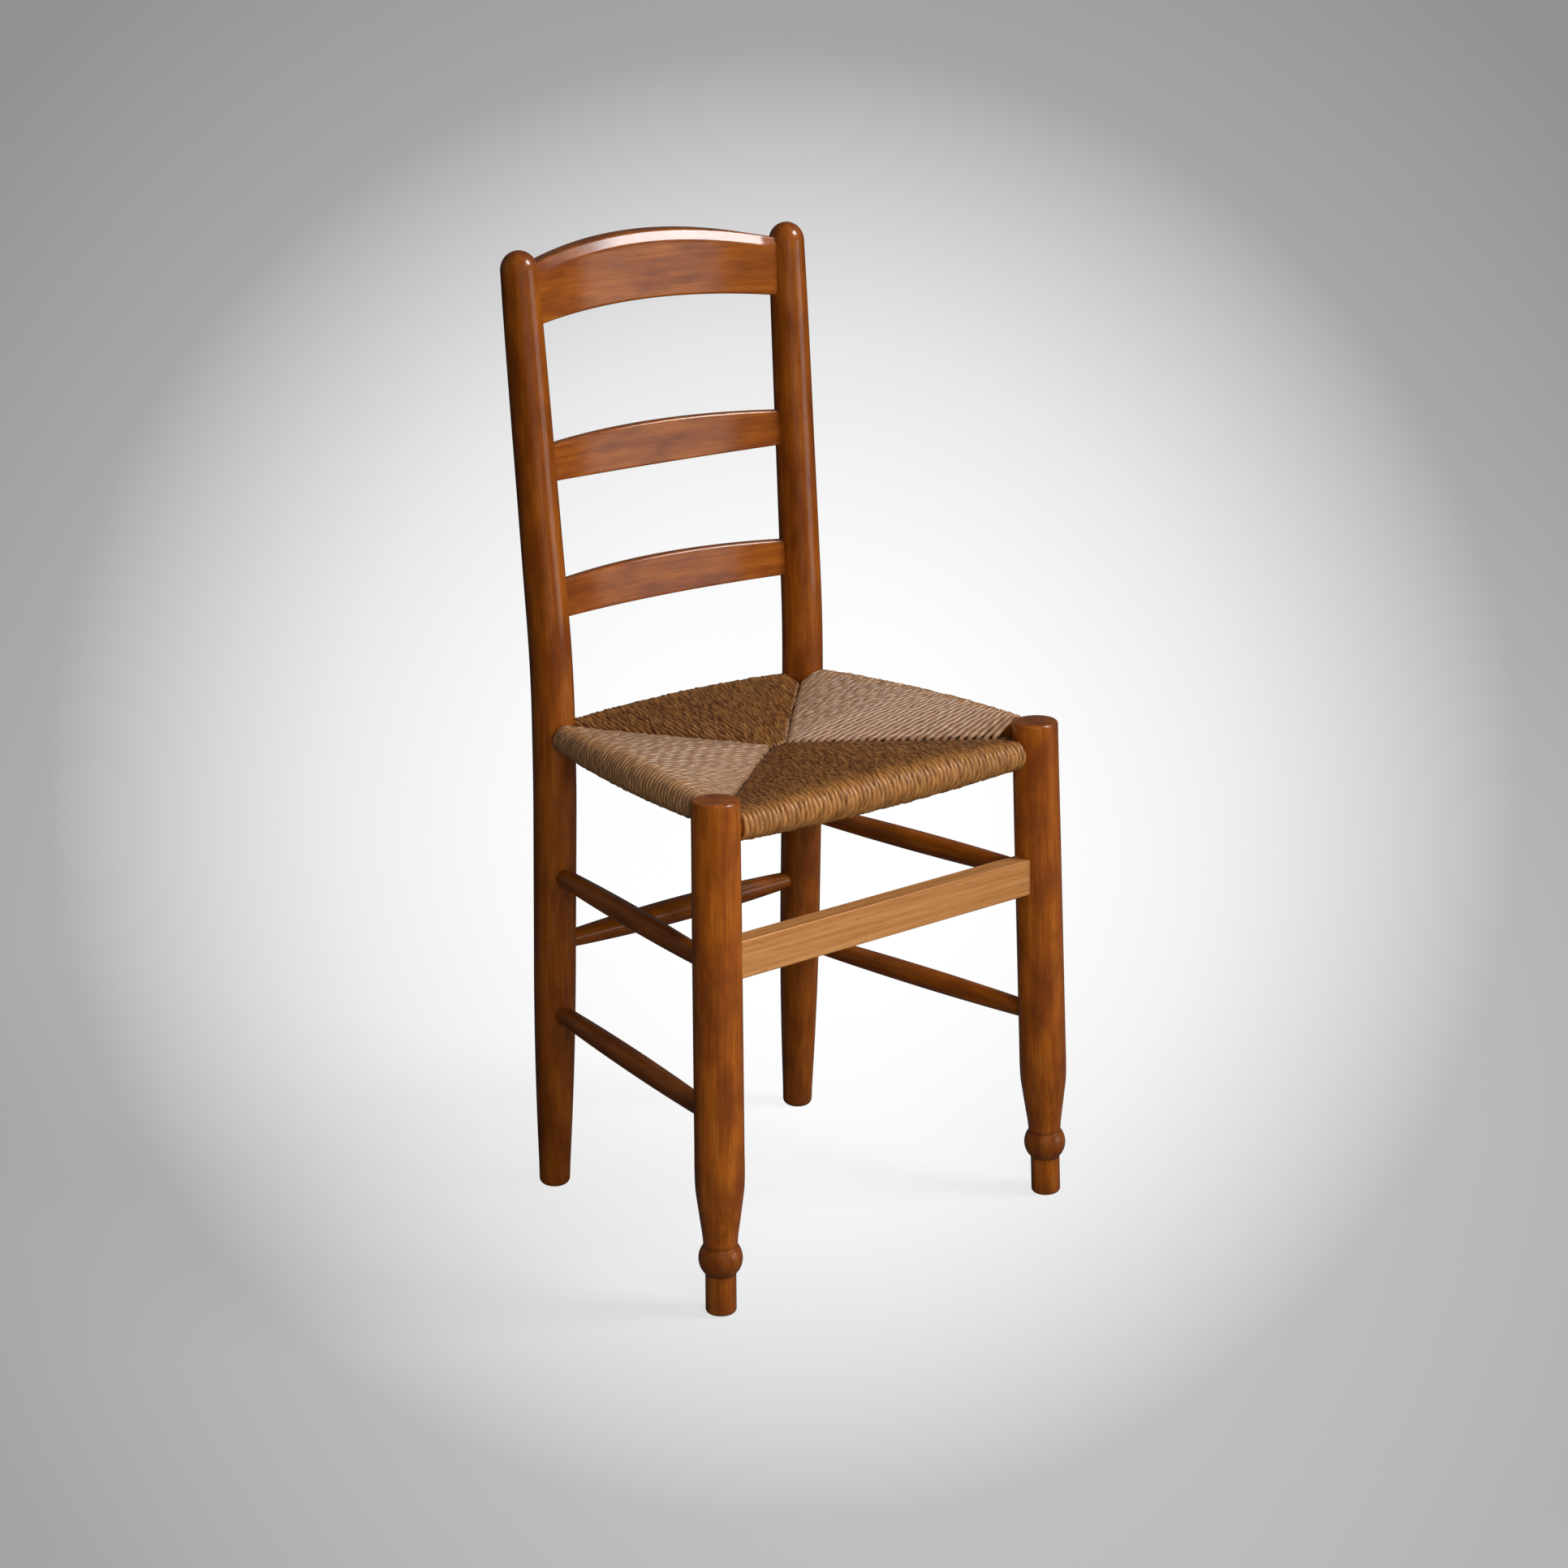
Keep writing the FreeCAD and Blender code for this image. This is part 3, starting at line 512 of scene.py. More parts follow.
def rounded_end(radius, end, reach, upward, steps=8):
    """(station, radius) spots of a rounded end, from near the axis out to the side.

    upward is 1 where the piece starts at end, and -1 where it stops there."""
    spots = [(end, TIP_RADIUS), (end + upward * EDGE_STEP, max(0.8, radius - reach - 1.0)),
             (end + upward * 2 * EDGE_STEP, radius - reach)]
    for i in range(1, steps + 1):
        angle = math.pi / 2 * i / steps
        spots.append((end + upward * (2 * EDGE_STEP + reach * (1 - math.cos(angle))),
                      radius - reach + reach * math.sin(angle)))
    return spots


def leg_axis(side, z):
    """Centre of a front leg at a height; side is -1 for left and 1 for right."""
    t = z / LEG_HEIGHT
    return Vector((side * mix(LEG_FOOT[0], LEG_TOP[0], t), mix(LEG_FOOT[1], LEG_TOP[1], t), z))


def post_axis(side, z):
    """Centre of a back post at a height, bent smoothly at its two knees."""
    spots = [Vector((side * x, y, height)) for x, y, height in POST_SPOTS]

    def straight(a, b, height):
        return a + (b - a) * ((height - a.z) / (b.z - a.z))

    for before, knee, after, half in zip(spots, spots[1:], spots[2:], POST_BENDS):
        if z <= knee.z - half:
            return straight(before, knee, z)
        if z < knee.z + half:
            t = (z - knee.z + half) / (2 * half)
            start = straight(before, knee, knee.z - half)
            end = straight(knee, after, knee.z + half)
            spot = start * (1 - t) ** 2 + knee * (2 * t * (1 - t)) + end * t ** 2
            return Vector((spot.x, spot.y, z))
    return straight(spots[-2], spots[-1], z)


class CHAIR_OT_front_legs(bpy.types.Operator):
    """Turn the two front legs with their beads and feet"""
    bl_idname = "chair.front_legs"
    bl_label = "Front Legs"

    def execute(self, context):
        foot, bead, bead_height, neck, top = 13.8, 19.7, 51.4, 15.3, 21.2
        rounding, rings = 3.4, 20
        # The foot is darkened a little
        bottom = [(station, radius, 0.4) for station, radius in rounded_end(foot, 0.0, rounding, 1)]
        # The bead is a ball, darker all over, with painted shade in the groove at the foot and at
        # the neck
        start = bead_height - math.sqrt(bead ** 2 - foot ** 2)
        end = bead_height + math.sqrt(bead ** 2 - neck ** 2)
        bottom += [(start - 7, foot, 0.0), (start - 1.5, foot, 0.15), (start - 0.15, foot, 1.0)]
        low = math.asin((start - bead_height) / bead)
        high = math.asin((end - bead_height) / bead)
        for i in range(rings + 1):
            angle = mix(low, high, i / rings)
            painted_shade_and_darkening = max(0.5, 1 - min(i, rings - i) / 2.5)
            bottom.append((bead_height + bead * math.sin(angle), bead * math.cos(angle), painted_shade_and_darkening))
        shaft = curve_through([
            (end + 0.15, neck), (67.0, 15.4), (73.0, 15.9), (84.0, 17.4), (98.0, 19.25),
            (114.0, 21.3), (119.0, 21.75), (160.0, 22.0), (290.0, 21.75), (370.0, 21.55),
            (430.0, 21.25), (LEG_HEIGHT - 3.6, top)], 4.0)
        # Painted shade fades out within 3 mm up the neck from the bead
        upper = [(station, radius, max(0.0, 0.9 - (station - end) / 3))
                 for station, radius in shaft]
        rim = rounded_end(top, LEG_HEIGHT, rounding, -1)
        # The top is a shallow dome inside its rounded rim; both are darkened a little
        crown = [(LEG_HEIGHT + 0.45 * (1 - (radius / (top - rounding)) ** 2) - 0.1, radius, 0.45)
                 for radius in (TIP_RADIUS, 4.0, 8.0, 12.0, 15.0)]
        upper += [(station, radius, 0.3) for station, radius in rim[:2:-1]] + crown[::-1]
        for side, word in SIDES:
            turned_piece("front_leg_" + word, lambda z, side=side: leg_axis(side, z),
                         bottom + upper, (0.31 * side, 0.07, 0.4), context)
        return {"FINISHED"}


class CHAIR_OT_back_posts(bpy.types.Operator):
    """Turn the two bent back posts with their tapered feet and domed tops"""
    bl_idname = "chair.back_posts"
    bl_label = "Back Posts"

    def execute(self, context):
        neck, dome, rings = 882.5, 16.9, 15
        top = POST_SPOTS[-1][2]
        profile = rounded_end(14.8, 0.0, 5.5, 1)
        profile += curve_through([
            (9.0, 14.9), (19.0, 15.15), (54.0, 16.5), (83.0, 17.5), (134.0, 18.9),
            (200.0, 19.85), (267.0, 20.0), (393.0, 20.2), (486.0, 19.95), (600.0, 19.4),
            (684.0, 18.8), (780.0, 18.2), (840.0, 17.6), (neck, dome)], 6.0)
        for i in range(1, rings):
            angle = math.pi / 2 * i / rings
            profile.append((neck + (top - neck) * math.sin(angle), dome * math.cos(angle)))
        profile.append((top, TIP_RADIUS))
        # The posts are a little darker all along, and most in the last 12 mm
        last = 12.0
        spots = [(station, radius, max(0.32, 0.6 * (station - (top - last)) / last))
                 for station, radius in profile]
        for side, word in SIDES:
            turned_piece("back_post_" + word, lambda z, side=side: post_axis(side, z), spots,
                         (0.17 * side, 0.23, 0.9), context)
        return {"FINISHED"}


def round_rail(name, a, b, end_radius, mid_radius, grain_offset, context):
    """Round rail between two axis points, fattest in the middle, its tenons in the legs."""
    length = (b - a).length
    direction = (b - a) / length
    # Round rails are darkened a little all along
    shoulder, rings, painted_shade_and_darkening = 20.0, 40, 0.3
    spots = [(TENON_TIP_TO_AXIS, TIP_RADIUS), (TENON_TIP_TO_AXIS + EDGE_STEP, end_radius),
             (shoulder, end_radius)]
    for i in range(1, rings):
        t = i / rings
        swell = math.sin(math.pi * t) ** 0.8
        spots.append((mix(shoulder, length - shoulder, t), mix(end_radius, mid_radius, swell)))
    spots += [(length - station, radius) for station, radius in spots[2::-1]]
    turned_piece(name, lambda station: a + direction * station,
                 [(station, radius, painted_shade_and_darkening) for station, radius in spots], grain_offset, context)


class CHAIR_OT_stretchers(bpy.types.Operator):
    """Turn the four side stretchers and the back stretcher"""
    bl_idname = "chair.stretchers"
    bl_label = "Round Stretchers"

    def execute(self, context):
        for side, word in SIDES:
            for level, z in SIDE_STRETCHERS:
                round_rail("side_stretcher_" + level + "_" + word, leg_axis(side, z),
                           post_axis(side, z), 8.4, 10.4, (0.09 * side, 0.003 * z, 0.2), context)
        round_rail("back_stretcher", post_axis(-1, BACK_STRETCHER), post_axis(1, BACK_STRETCHER),
                   8.2, 12.2, (0.5, 0.1, 0.6), context)
        return {"FINISHED"}


class CHAIR_OT_seat_rails(bpy.types.Operator):
    """Turn the four plain rails that carry the rush"""
    bl_idname = "chair.seat_rails"
    bl_label = "Seat Rails"

    def execute(self, context):
        ends = {"front": (leg_axis(-1, FRONT_RAIL), leg_axis(1, FRONT_RAIL)),
                "back": (post_axis(-1, BACK_RAIL), post_axis(1, BACK_RAIL)),
                "left": (leg_axis(-1, SIDE_RAIL), post_axis(-1, SIDE_RAIL)),
                "right": (leg_axis(1, SIDE_RAIL), post_axis(1, SIDE_RAIL))}
        radius = 9.0
        for i, (word, (a, b)) in enumerate(ends.items()):
            round_rail("seat_rail_" + word, a, b, radius, radius, (0.7, 0.1 * i, 0.3), context)
        return {"FINISHED"}


def eased_outline(corners, radii, steps=7):
    """Points round a flat rail's section, with each corner rounded and held by a close pair."""
    points = []
    hold = 0.3
    for i, radius in enumerate(radii):
        corner = Vector(corners[i])
        before = (Vector(corners[i - 1]) - corner).normalized()
        after = (Vector(corners[(i + 1) % len(corners)]) - corner).normalized()
        points.append(corner + before * (radius + hold))
        start, end = corner + before * radius, corner + after * radius
        for k in range(steps + 1):
            t = k / steps
            points.append(start * (1 - t) ** 2 + corner * (2 * t * (1 - t)) + end * t ** 2)
        points.append(corner + after * (radius + hold))
    return points


def flat_rail(name, slot, half_length, stations, section_at, place, grain_offset, context):
    """Sweep a section along X from (depth, height) points, which place sets in space."""
    points, grain, faces = [], [], []
    for i in range(stations + 1):
        x = mix(-half_length, half_length, i / stations)
        outline = section_at(x)
        for depth, height in outline:
            points.append(place(x, depth, height))
            grain.append(Vector((depth * MM, height * MM, x * MM)) + Vector(grain_offset))
    size = len(outline)
    for i in range(stations):
        for k in range(size):
            here, after = i * size + k, i * size + (k + 1) % size
            faces.append((here, after, after + size, here + size))
    faces.append(tuple(range(size)))
    faces.append(tuple(stations * size + k for k in range(size)))
    piece = new_object("finished_" + name, points, [], faces, context)
    store(piece.data, "grain", "FLOAT_VECTOR", grain)
    # Flat rails are darkened a little all over
    store(piece.data, "painted_shade_and_darkening", "FLOAT", [0.2] * len(points))
    face_outwards(piece.data)
    piece.data.shade_smooth()
    for face in piece.data.polygons[-2:]:
        face.use_smooth = False
    piece.data.materials.append(material_for(slot, context))
    seat_in_frame(piece, slot, name)


def bowed_rail(name, height, thickness, bow, ends, middle, bevel, ease, front_drop,
               grain_offset, context):
    """Bowed rail of the back; ends and middle are (bottom, top) heights about its centre.

    bevel is the (depth, height) of the soft bevel along the upper front edge, and
    front_drop is how much lower that edge is in the middle."""
    axis = post_axis(1, height)
    half_span = axis.x
    tilt = math.atan(POST_RAKE)

    def section_at(x):
        share = (x / half_span) ** 2
        low, high = mix(middle[0], ends[0], share), mix(middle[1], ends[1], share)
        half = thickness / 2
        fade = min(1.0, 0.3 + 2 * (1 - share))
        front_top = high - front_drop * (1 - share)
        corners = [(-half, low), (half, low), (half, high), (bevel[0] * fade - half, front_top),
                   (-half, front_top - bevel[1] * fade)]
        return eased_outline(corners, (ease, ease, ease, 0.7 * ease, 0.7 * ease))

    def place(x, depth, up):
        y = axis.y + bow * (1 - (x / half_span) ** 2)
        return (x, y + depth * math.cos(tilt) + up * math.sin(tilt),
                height - depth * math.sin(tilt) + up * math.cos(tilt))

    flat_rail(name, "lacquered_wood", half_span - TENON_TIP_TO_AXIS, 72, section_at, place,
              grain_offset, context)


class CHAIR_OT_back_rails(bpy.types.Operator):
    """Shape the bowed crest and the two bowed slats"""
    bl_idname = "chair.back_rails"
    bl_label = "Crest And Slats"

    def execute(self, context):
        sizes = context.scene.chair_sizes
        crest_bevel = (sizes.crest_bevel[0] / MM, sizes.crest_bevel[1] / MM)
        slat_bevel, slat_ease = (1.6, 2.4), sizes.slat_ease / MM
        # Height, thickness, bow, (bottom, top) at the ends and in the middle, bevel, rounding,
        # drop of the front edge, and where the piece lies in the wood
        for rail in (
                ("crest_rail", 861.0, 19.0, 22.0, (-31.0, 22.0), (-20.0, 44.0), crest_bevel, 2.6,
                 2.5, (0.02, 0.4, 0.1)),
                ("middle_slat", 709.0, 11.0, 20.0, (-18.0, 13.5), (-21.5, 19.0), slat_bevel,
                 slat_ease, 0.0, (0.05, 0.3, 0.5)),
                ("lower_slat", 584.0, 11.0, 20.0, (-19.5, 13.5), (-21.0, 18.0), slat_bevel,
                 slat_ease, 0.0, (0.09, 0.2, 0.8))):
            bowed_rail(*rail, context)
        return {"FINISHED"}


class CHAIR_OT_front_board(bpy.types.Operator):
    """Shape the pale flat board between the front legs"""
    bl_idname = "chair.front_board"
    bl_label = "Front Board"

    def execute(self, context):
        half_width, half_depth = 17.25, 9.5
        axis = leg_axis(1, FRONT_BOARD)
        ease = context.scene.chair_sizes.board_ease / MM
        corners = [(-half_depth, -half_width), (half_depth, -half_width),
                   (half_depth, half_width), (-half_depth, half_width)]
        flat_rail("front_stretcher", "pale_wood", axis.x - TENON_TIP_TO_AXIS, 40,
                  lambda x: eased_outline(corners, (ease,) * 4),
                  lambda x, depth, up: (x, axis.y + depth, FRONT_BOARD + up), (0.3, 0.2, 0.4),
                  context)
        return {"FINISHED"}


class SeatPanel(NamedTuple):
    """One panel of the rush seat: where its strands lie and how they run.

    Strands lie side by side from start to end along one axis (0 or 1), and each runs over
    the rail, inwards to its seam (inward is its sign) and back below. The functions give, at
    a strand's place, the rail, the reach from it to the seam, and the seam's two heights."""
    along: int
    inward: int
    rail_height: float
    start: float
    end: float
    rail_at: Callable
    reach_at: Callable
    seam_top_at: Callable
    seam_low_at: Callable

    def roll_radius(self, place):
        t = (place - self.start) / (self.end - self.start)
        return mix(ROLL_MID_RADIUS, ROLL_END_RADIUS, (2 * t - 1) ** 2)

    def spot(self, place, reach, height):
        across = self.rail_at(place) + self.inward * reach
        return (place, across, height) if self.along == 0 else (across, place, height)


def seat_panels():
    """The four panels, from the rails' axes and the hub in the middle of the seat."""
    front, back = leg_axis(1, FRONT_RAIL), post_axis(1, BACK_RAIL)
    side_front, side_back = leg_axis(1, SIDE_RAIL), post_axis(1, SIDE_RAIL)
    hub = mix(front.y, back.y, 0.5)
    panels = {}
    for word, corner, inward, rail_height, clear, (tops, lows) in (
            ("front", front, 1, FRONT_RAIL, LEG_CLEAR, FRONT_SEAMS),
            ("back", back, -1, BACK_RAIL, POST_CLEAR, BACK_SEAMS)):
        span = corner.x - clear

        def share_at(x, corner=corner):
            return min(1.0, (corner.x - abs(x)) / (corner.x - HUB_HALF_WIDTH))

        depth = abs(hub - corner.y)
        panels[word] = SeatPanel(
            0, inward, rail_height, -span, span, lambda x, corner=corner: corner.y,
            lambda x, depth=depth, share_at=share_at: depth * share_at(x),
            lambda x, tops=tops, share_at=share_at: mix(tops[0], tops[1], share_at(x)),
            lambda x, lows=lows, share_at=share_at: mix(lows[0], lows[1], share_at(x)))

    def side_share(y):
        if y < hub:
            return (y - side_front.y) / (hub - side_front.y)
        return (side_back.y - y) / (side_back.y - hub)

    def rail_x(y):
        return mix(side_front.x, side_back.x, (y - side_front.y) / (side_back.y - side_front.y))

    def side_reach(y):
        corner = side_front if y < hub else side_back
        return rail_x(y) - mix(corner.x, HUB_HALF_WIDTH, side_share(y))

    def side_seam(y, heights):
        return mix(heights[0] if y < hub else heights[1], heights[2], side_share(y))

    for word, sign in (("left", -1), ("right", 1)):
        panels[word] = SeatPanel(
            1, -sign, SIDE_RAIL, side_front.y + LEG_CLEAR, side_back.y - POST_CLEAR,
            lambda y, sign=sign: sign * rail_x(y), side_reach,
            lambda y: side_seam(y, SIDE_SEAM_TOP), lambda y: side_seam(y, SIDE_SEAM_LOW))
    return panels


def arc(centre, radius, start, end, steps):
    """Points of an arc about a centre, between two angles."""
    angles = (mix(start, end, i / steps) for i in range(steps + 1))
    return [(centre[0] + radius * math.cos(a), centre[1] + radius * math.sin(a)) for a in angles]


def strand_path(panel, place, girth):
    """Closed path of one strand: up its seam, over the top, round the rail and back below."""
    half = girth / 2
    # The strands of one panel bite into the seam, each a little more or less than the next
    uneven = 1.5 * noise.noise(Vector((place * 1.7, panel.rail_height, panel.inward)))
    reach = panel.reach_at(place) - 0.43 * girth + uneven
    turn = min(2.6, 0.35 * reach)
    top = panel.seam_top_at(place) - half
    low = panel.seam_low_at(place) + half
    roll = panel.roll_radius(place) - half
    height = panel.rail_height
    run = reach - turn
    steps = max(2, round(run / 6))
    # The pad below makes the top swell a little between the seam and the rail
    swell = 0.015 * reach
    path = arc((run, top - turn), turn, 0.0, math.pi / 2, 4)
    for i in range(1, steps):
        t = i / steps
        path.append((mix(run, 0.0, t), mix(top, height + roll, t) + swell * 4 * t * (1 - t)))
    path += arc((0.0, height), roll, math.pi / 2, 1.5 * math.pi, 12)
    for i in range(1, steps):
        t = i / steps
        path.append((mix(0.0, run, t), mix(height - roll, low, t)))
    path += arc((run, low + turn), turn, -math.pi / 2, 0.0, 4)
    return path, reach


def strand_tree():
    """Geometry tree that twists strands of rush along their paths, uneven as hand work is."""
    tree, source = new_tree("Twisted Rush Strands", [
        ("Thickness", "NodeSocketFloat"), ("Step", "NodeSocketFloat"),
        ("Twist Length", "NodeSocketFloat"), ("Unevenness", "NodeSocketFloat"),
        ("Wander", "NodeSocketFloat"), ("Sides", "NodeSocketInt"), ("Seed", "NodeSocketInt"),
        ("Material", "NodeSocketMaterial")])
    paths = add_node(tree, "GeometryNodeMeshToCurve", {"Mesh": source.outputs["Geometry"]})
    even = add_node(tree, "GeometryNodeResampleCurve", {
        "Curve": paths.outputs["Curve"], "Length": source.outputs["Step"]}, mode="LENGTH")
    parameter = add_node(tree, "GeometryNodeSplineParameter")
    number = add_node(tree, "GeometryNodeCurveOfPoint")
    chance = add_node(tree, "FunctionNodeRandomValue", {
        "ID": number.outputs["Curve Index"], "Seed": source.outputs["Seed"]}, data_type="FLOAT")
    turns = add_node(tree, "ShaderNodeMath", {
        0: parameter.outputs["Length"], 1: source.outputs["Twist Length"]}, operation="DIVIDE")
    phase = add_node(tree, "ShaderNodeMath", {
        0: turns.outputs["Value"], 1: chance.outputs[1]}, operation="ADD")
    angle = add_node(tree, "ShaderNodeMath", {
        0: phase.outputs["Value"], 1: 2 * math.pi}, operation="MULTIPLY")
    tilted = add_node(tree, "GeometryNodeSetCurveTilt", {
        "Curve": even.outputs["Curve"], "Tilt": angle.outputs["Value"]})
    # Lumps and bends about 18 mm long
    place = add_node(tree, "GeometryNodeInputPosition")
    swelling = add_node(tree, "ShaderNodeTexNoise", {
        "Vector": place.outputs["Position"], "W": chance.outputs[1], "Scale": 55.0, "Detail": 1.0},
        noise_dimensions="4D")
    wandering = add_node(tree, "ShaderNodeVectorMath", {
        0: swelling.outputs["Color"], 1: (0.5, 0.5, 0.5)}, operation="SUBTRACT")
    drift = add_node(tree, "ShaderNodeVectorMath", {
        0: wandering.outputs["Vector"], "Scale": source.outputs["Wander"]}, operation="SCALE")
    moved = add_node(tree, "GeometryNodeSetPosition", {
        "Geometry": tilted.outputs["Curve"], "Offset": drift.outputs["Vector"]})
    centred = add_node(tree, "ShaderNodeMath", {
        0: swelling.outputs["Fac"], 1: 0.5}, operation="SUBTRACT")
    factor = add_node(tree, "ShaderNodeMath", {
        0: centred.outputs["Value"], 1: source.outputs["Unevenness"], 2: 1.0},
        operation="MULTIPLY_ADD")
    pinch = add_node(tree, "GeometryNodeInputNamedAttribute", {"Name": "pinch"}, data_type="FLOAT")
    pinched = add_node(tree, "ShaderNodeMath", {
        0: factor.outputs["Value"], 1: pinch.outputs["Attribute"]}, operation="MULTIPLY")
    girth = add_node(tree, "ShaderNodeMath", {
        0: pinched.outputs["Value"], 1: source.outputs["Thickness"]}, operation="MULTIPLY")
    kept = add_node(tree, "GeometryNodeCaptureAttribute", {"Geometry": moved.outputs["Geometry"]})
    for item, (name, socket) in enumerate((
            ("along", parameter.outputs["Length"]), ("chance", chance.outputs[1]),
            ("girth", girth.outputs["Value"])), 1):
        kept.capture_items.new("FLOAT", name)
        tree.links.new(socket, kept.inputs[item])
    circle = add_node(tree, "GeometryNodeCurvePrimitiveCircle", {
        "Resolution": source.outputs["Sides"], "Radius": 0.5}, mode="RADIUS")
    oval = add_node(tree, "GeometryNodeTransform", {
        "Geometry": circle.outputs["Curve"], "Scale": (1.06, 0.88, 1.0)})
    rim_spot = add_node(tree, "GeometryNodeInputPosition")
    rim = add_node(tree, "GeometryNodeCaptureAttribute", {"Geometry": oval.outputs["Geometry"]})
    rim.capture_items.new("VECTOR", "rim")
    tree.links.new(rim_spot.outputs["Position"], rim.inputs[1])
    skin = add_node(tree, "GeometryNodeCurveToMesh", {
        "Curve": kept.outputs["Geometry"], "Profile Curve": rim.outputs["Geometry"],
        "Scale": kept.outputs[3]})
    across = add_node(tree, "ShaderNodeVectorMath", {
        0: rim.outputs[1], "Scale": kept.outputs[3]}, operation="SCALE")
    onward = add_node(tree, "ShaderNodeCombineXYZ", {"Z": kept.outputs[1]})
    fibre = add_node(tree, "ShaderNodeVectorMath", {
        0: across.outputs["Vector"], 1: onward.outputs["Vector"]})
    with_fibre = add_node(tree, "GeometryNodeStoreNamedAttribute", {
        "Geometry": skin.outputs["Mesh"], "Name": "fibre", "Value": fibre.outputs["Vector"]},
        data_type="FLOAT_VECTOR", domain="POINT")
    with_strand = add_node(tree, "GeometryNodeStoreNamedAttribute", {
        "Geometry": with_fibre.outputs["Geometry"], "Name": "strand", "Value": kept.outputs[2]},
        data_type="FLOAT", domain="POINT")
    smooth = add_node(tree, "GeometryNodeSetShadeSmooth", {
        "Geometry": with_strand.outputs["Geometry"]})
    finish_tree(tree, source, smooth.outputs["Geometry"])
    return tree


class CHAIR_OT_rush_seat(bpy.types.Operator):
    """Weave the four panels of the rush seat from twisted strands"""
    bl_idname = "chair.rush_seat"
    bl_label = "Rush Seat"

    def execute(self, context):
        sizes = context.scene.chair_sizes
        girth = sizes.strand_girth / MM
        panels = seat_panels()
        front = panels["front"]
        pitch = (front.end - front.start) / sizes.front_strands
        tree = strand_tree()
        for seed, (word, panel) in enumerate(panels.items()):
            count = round((panel.end - panel.start) / pitch)
            points, edges, pinches, painted_sheens, wear = [], [], [], [], []
            for i in range(count):
                place = mix(panel.start, panel.end, (i + 0.5) / count)
                path, reach = strand_path(panel, place, girth)
                first = len(points)
                for inward, height in path:
                    points.append(panel.spot(place, inward, height))
                    on_top = height > panel.rail_height
                    near_seam = max(0.0, 1 - (reach - inward) / PINCH_REACH) if on_top else 0.0
                    pinches.append(1 - SEAM_PINCH[word] * near_seam)
                    rubbed = max(0.0, min(1.0, 1 - inward / RUBBED_REACH))
                    # Side panels get a grey painted sheen, less of it near the rail
                    painted_sheens.append(mix(*SIDE_PAINTED_SHEEN, rubbed) if word in ("left", "right") else 0.0)
                    wear.append(rubbed)
                size = len(path)
                edges += [(first + k, first + (k + 1) % size) for k in range(size)]
            piece = new_object("woven_rush_" + word, points, edges, [], context)
            for name, values in (("pinch", pinches), ("painted_sheen", painted_sheens), ("worn", wear)):
                store(piece.data, name, "FLOAT", values)
            run_tree(piece, tree, {
                "Thickness": sizes.strand_girth, "Step": sizes.strand_step,
                "Twist Length": sizes.strand_twist, "Unevenness": 0.5, "Wander": 0.0016,
                "Sides": 10, "Seed": seed, "Material": material_for("rush", context)}, context)
            seat_in_frame(piece, "rush", "rush_" + word)
        return {"FINISHED"}


def pad_shape(panel, layer):
    """Points and faces of the closed, lumpy pad inside a panel, a layer of rush all round it."""
    across, inwards = 28, 12
    rail_gap, hub_gap, seam_gap = 20.0, 6.0, 5.5
    hub_place = (panel.start + panel.end) / 2 if panel.along == 0 else HUB_DEPTH
    start, end = rail_gap, panel.reach_at(hub_place) - hub_gap
    places = [panel.start + (panel.end - panel.start) * k / 400 for k in range(401)]
    points, faces = [], []
    for top in (True, False):
        for j in range(inwards + 1):
            inward = mix(start, end, j / inwards)
            open_places = [place for place in places if panel.reach_at(place) > inward + seam_gap]
            for i in range(across + 1):
                place = mix(open_places[0], open_places[-1], i / across)
                share = inward / panel.reach_at(place)
                roll = panel.roll_radius(place)
                upper = mix(panel.rail_height + roll, panel.seam_top_at(place), share) - layer
                lower = mix(panel.rail_height - roll, panel.seam_low_at(place), share) + layer
                edge = min(i, across - i, j, inwards - j)
                swell = (1 - (1 - min(1.0, edge / 3)) ** 2) * (upper - lower) / 2
                lump = 0.6 * noise.noise(Vector((place, inward, 7.0 if top else 0.0)) * 0.06)
                rise = max(0.3, swell - 0.8 + lump)
                points.append(panel.spot(
                    place, inward, (upper + lower) / 2 + (rise if top else -rise)))
    row = across + 1
    sheet = row * (inwards + 1)
    for j in range(inwards):
        for i in range(across):
            k = j * row + i
            faces.append((k, k + 1, k + row + 1, k + row))
            faces.append((sheet + k, sheet + k + row, sheet + k + row + 1, sheet + k + 1))
    rim = (list(range(row)) + [j * row + across for j in range(1, inwards + 1)]
           + [inwards * row + i for i in range(across - 1, -1, -1)]
           + [j * row for j in range(inwards - 1, 0, -1)])
    faces += [(a, b, sheet + b, sheet + a) for a, b in zip(rim, rim[1:] + rim[:1])]
    return points, faces


class CHAIR_OT_stuffing(bpy.types.Operator):
    """Lay the pads of loose rush between the two layers of each panel"""
    bl_idname = "chair.stuffing"
    bl_label = "Stuffing"

    def execute(self, context):
        layer = context.scene.chair_sizes.strand_girth / MM + 1.0
        for word, panel in seat_panels().items():
            points, faces = pad_shape(panel, layer)
            piece = new_object("loose_stuffing_" + word, points, [], faces, context)
            face_outwards(piece.data)
            piece.data.shade_smooth()
            piece.data.materials.append(material_for("stuffing", context))
            seat_in_frame(piece, "stuffing", "stuffing_" + word)
        return {"FINISHED"}


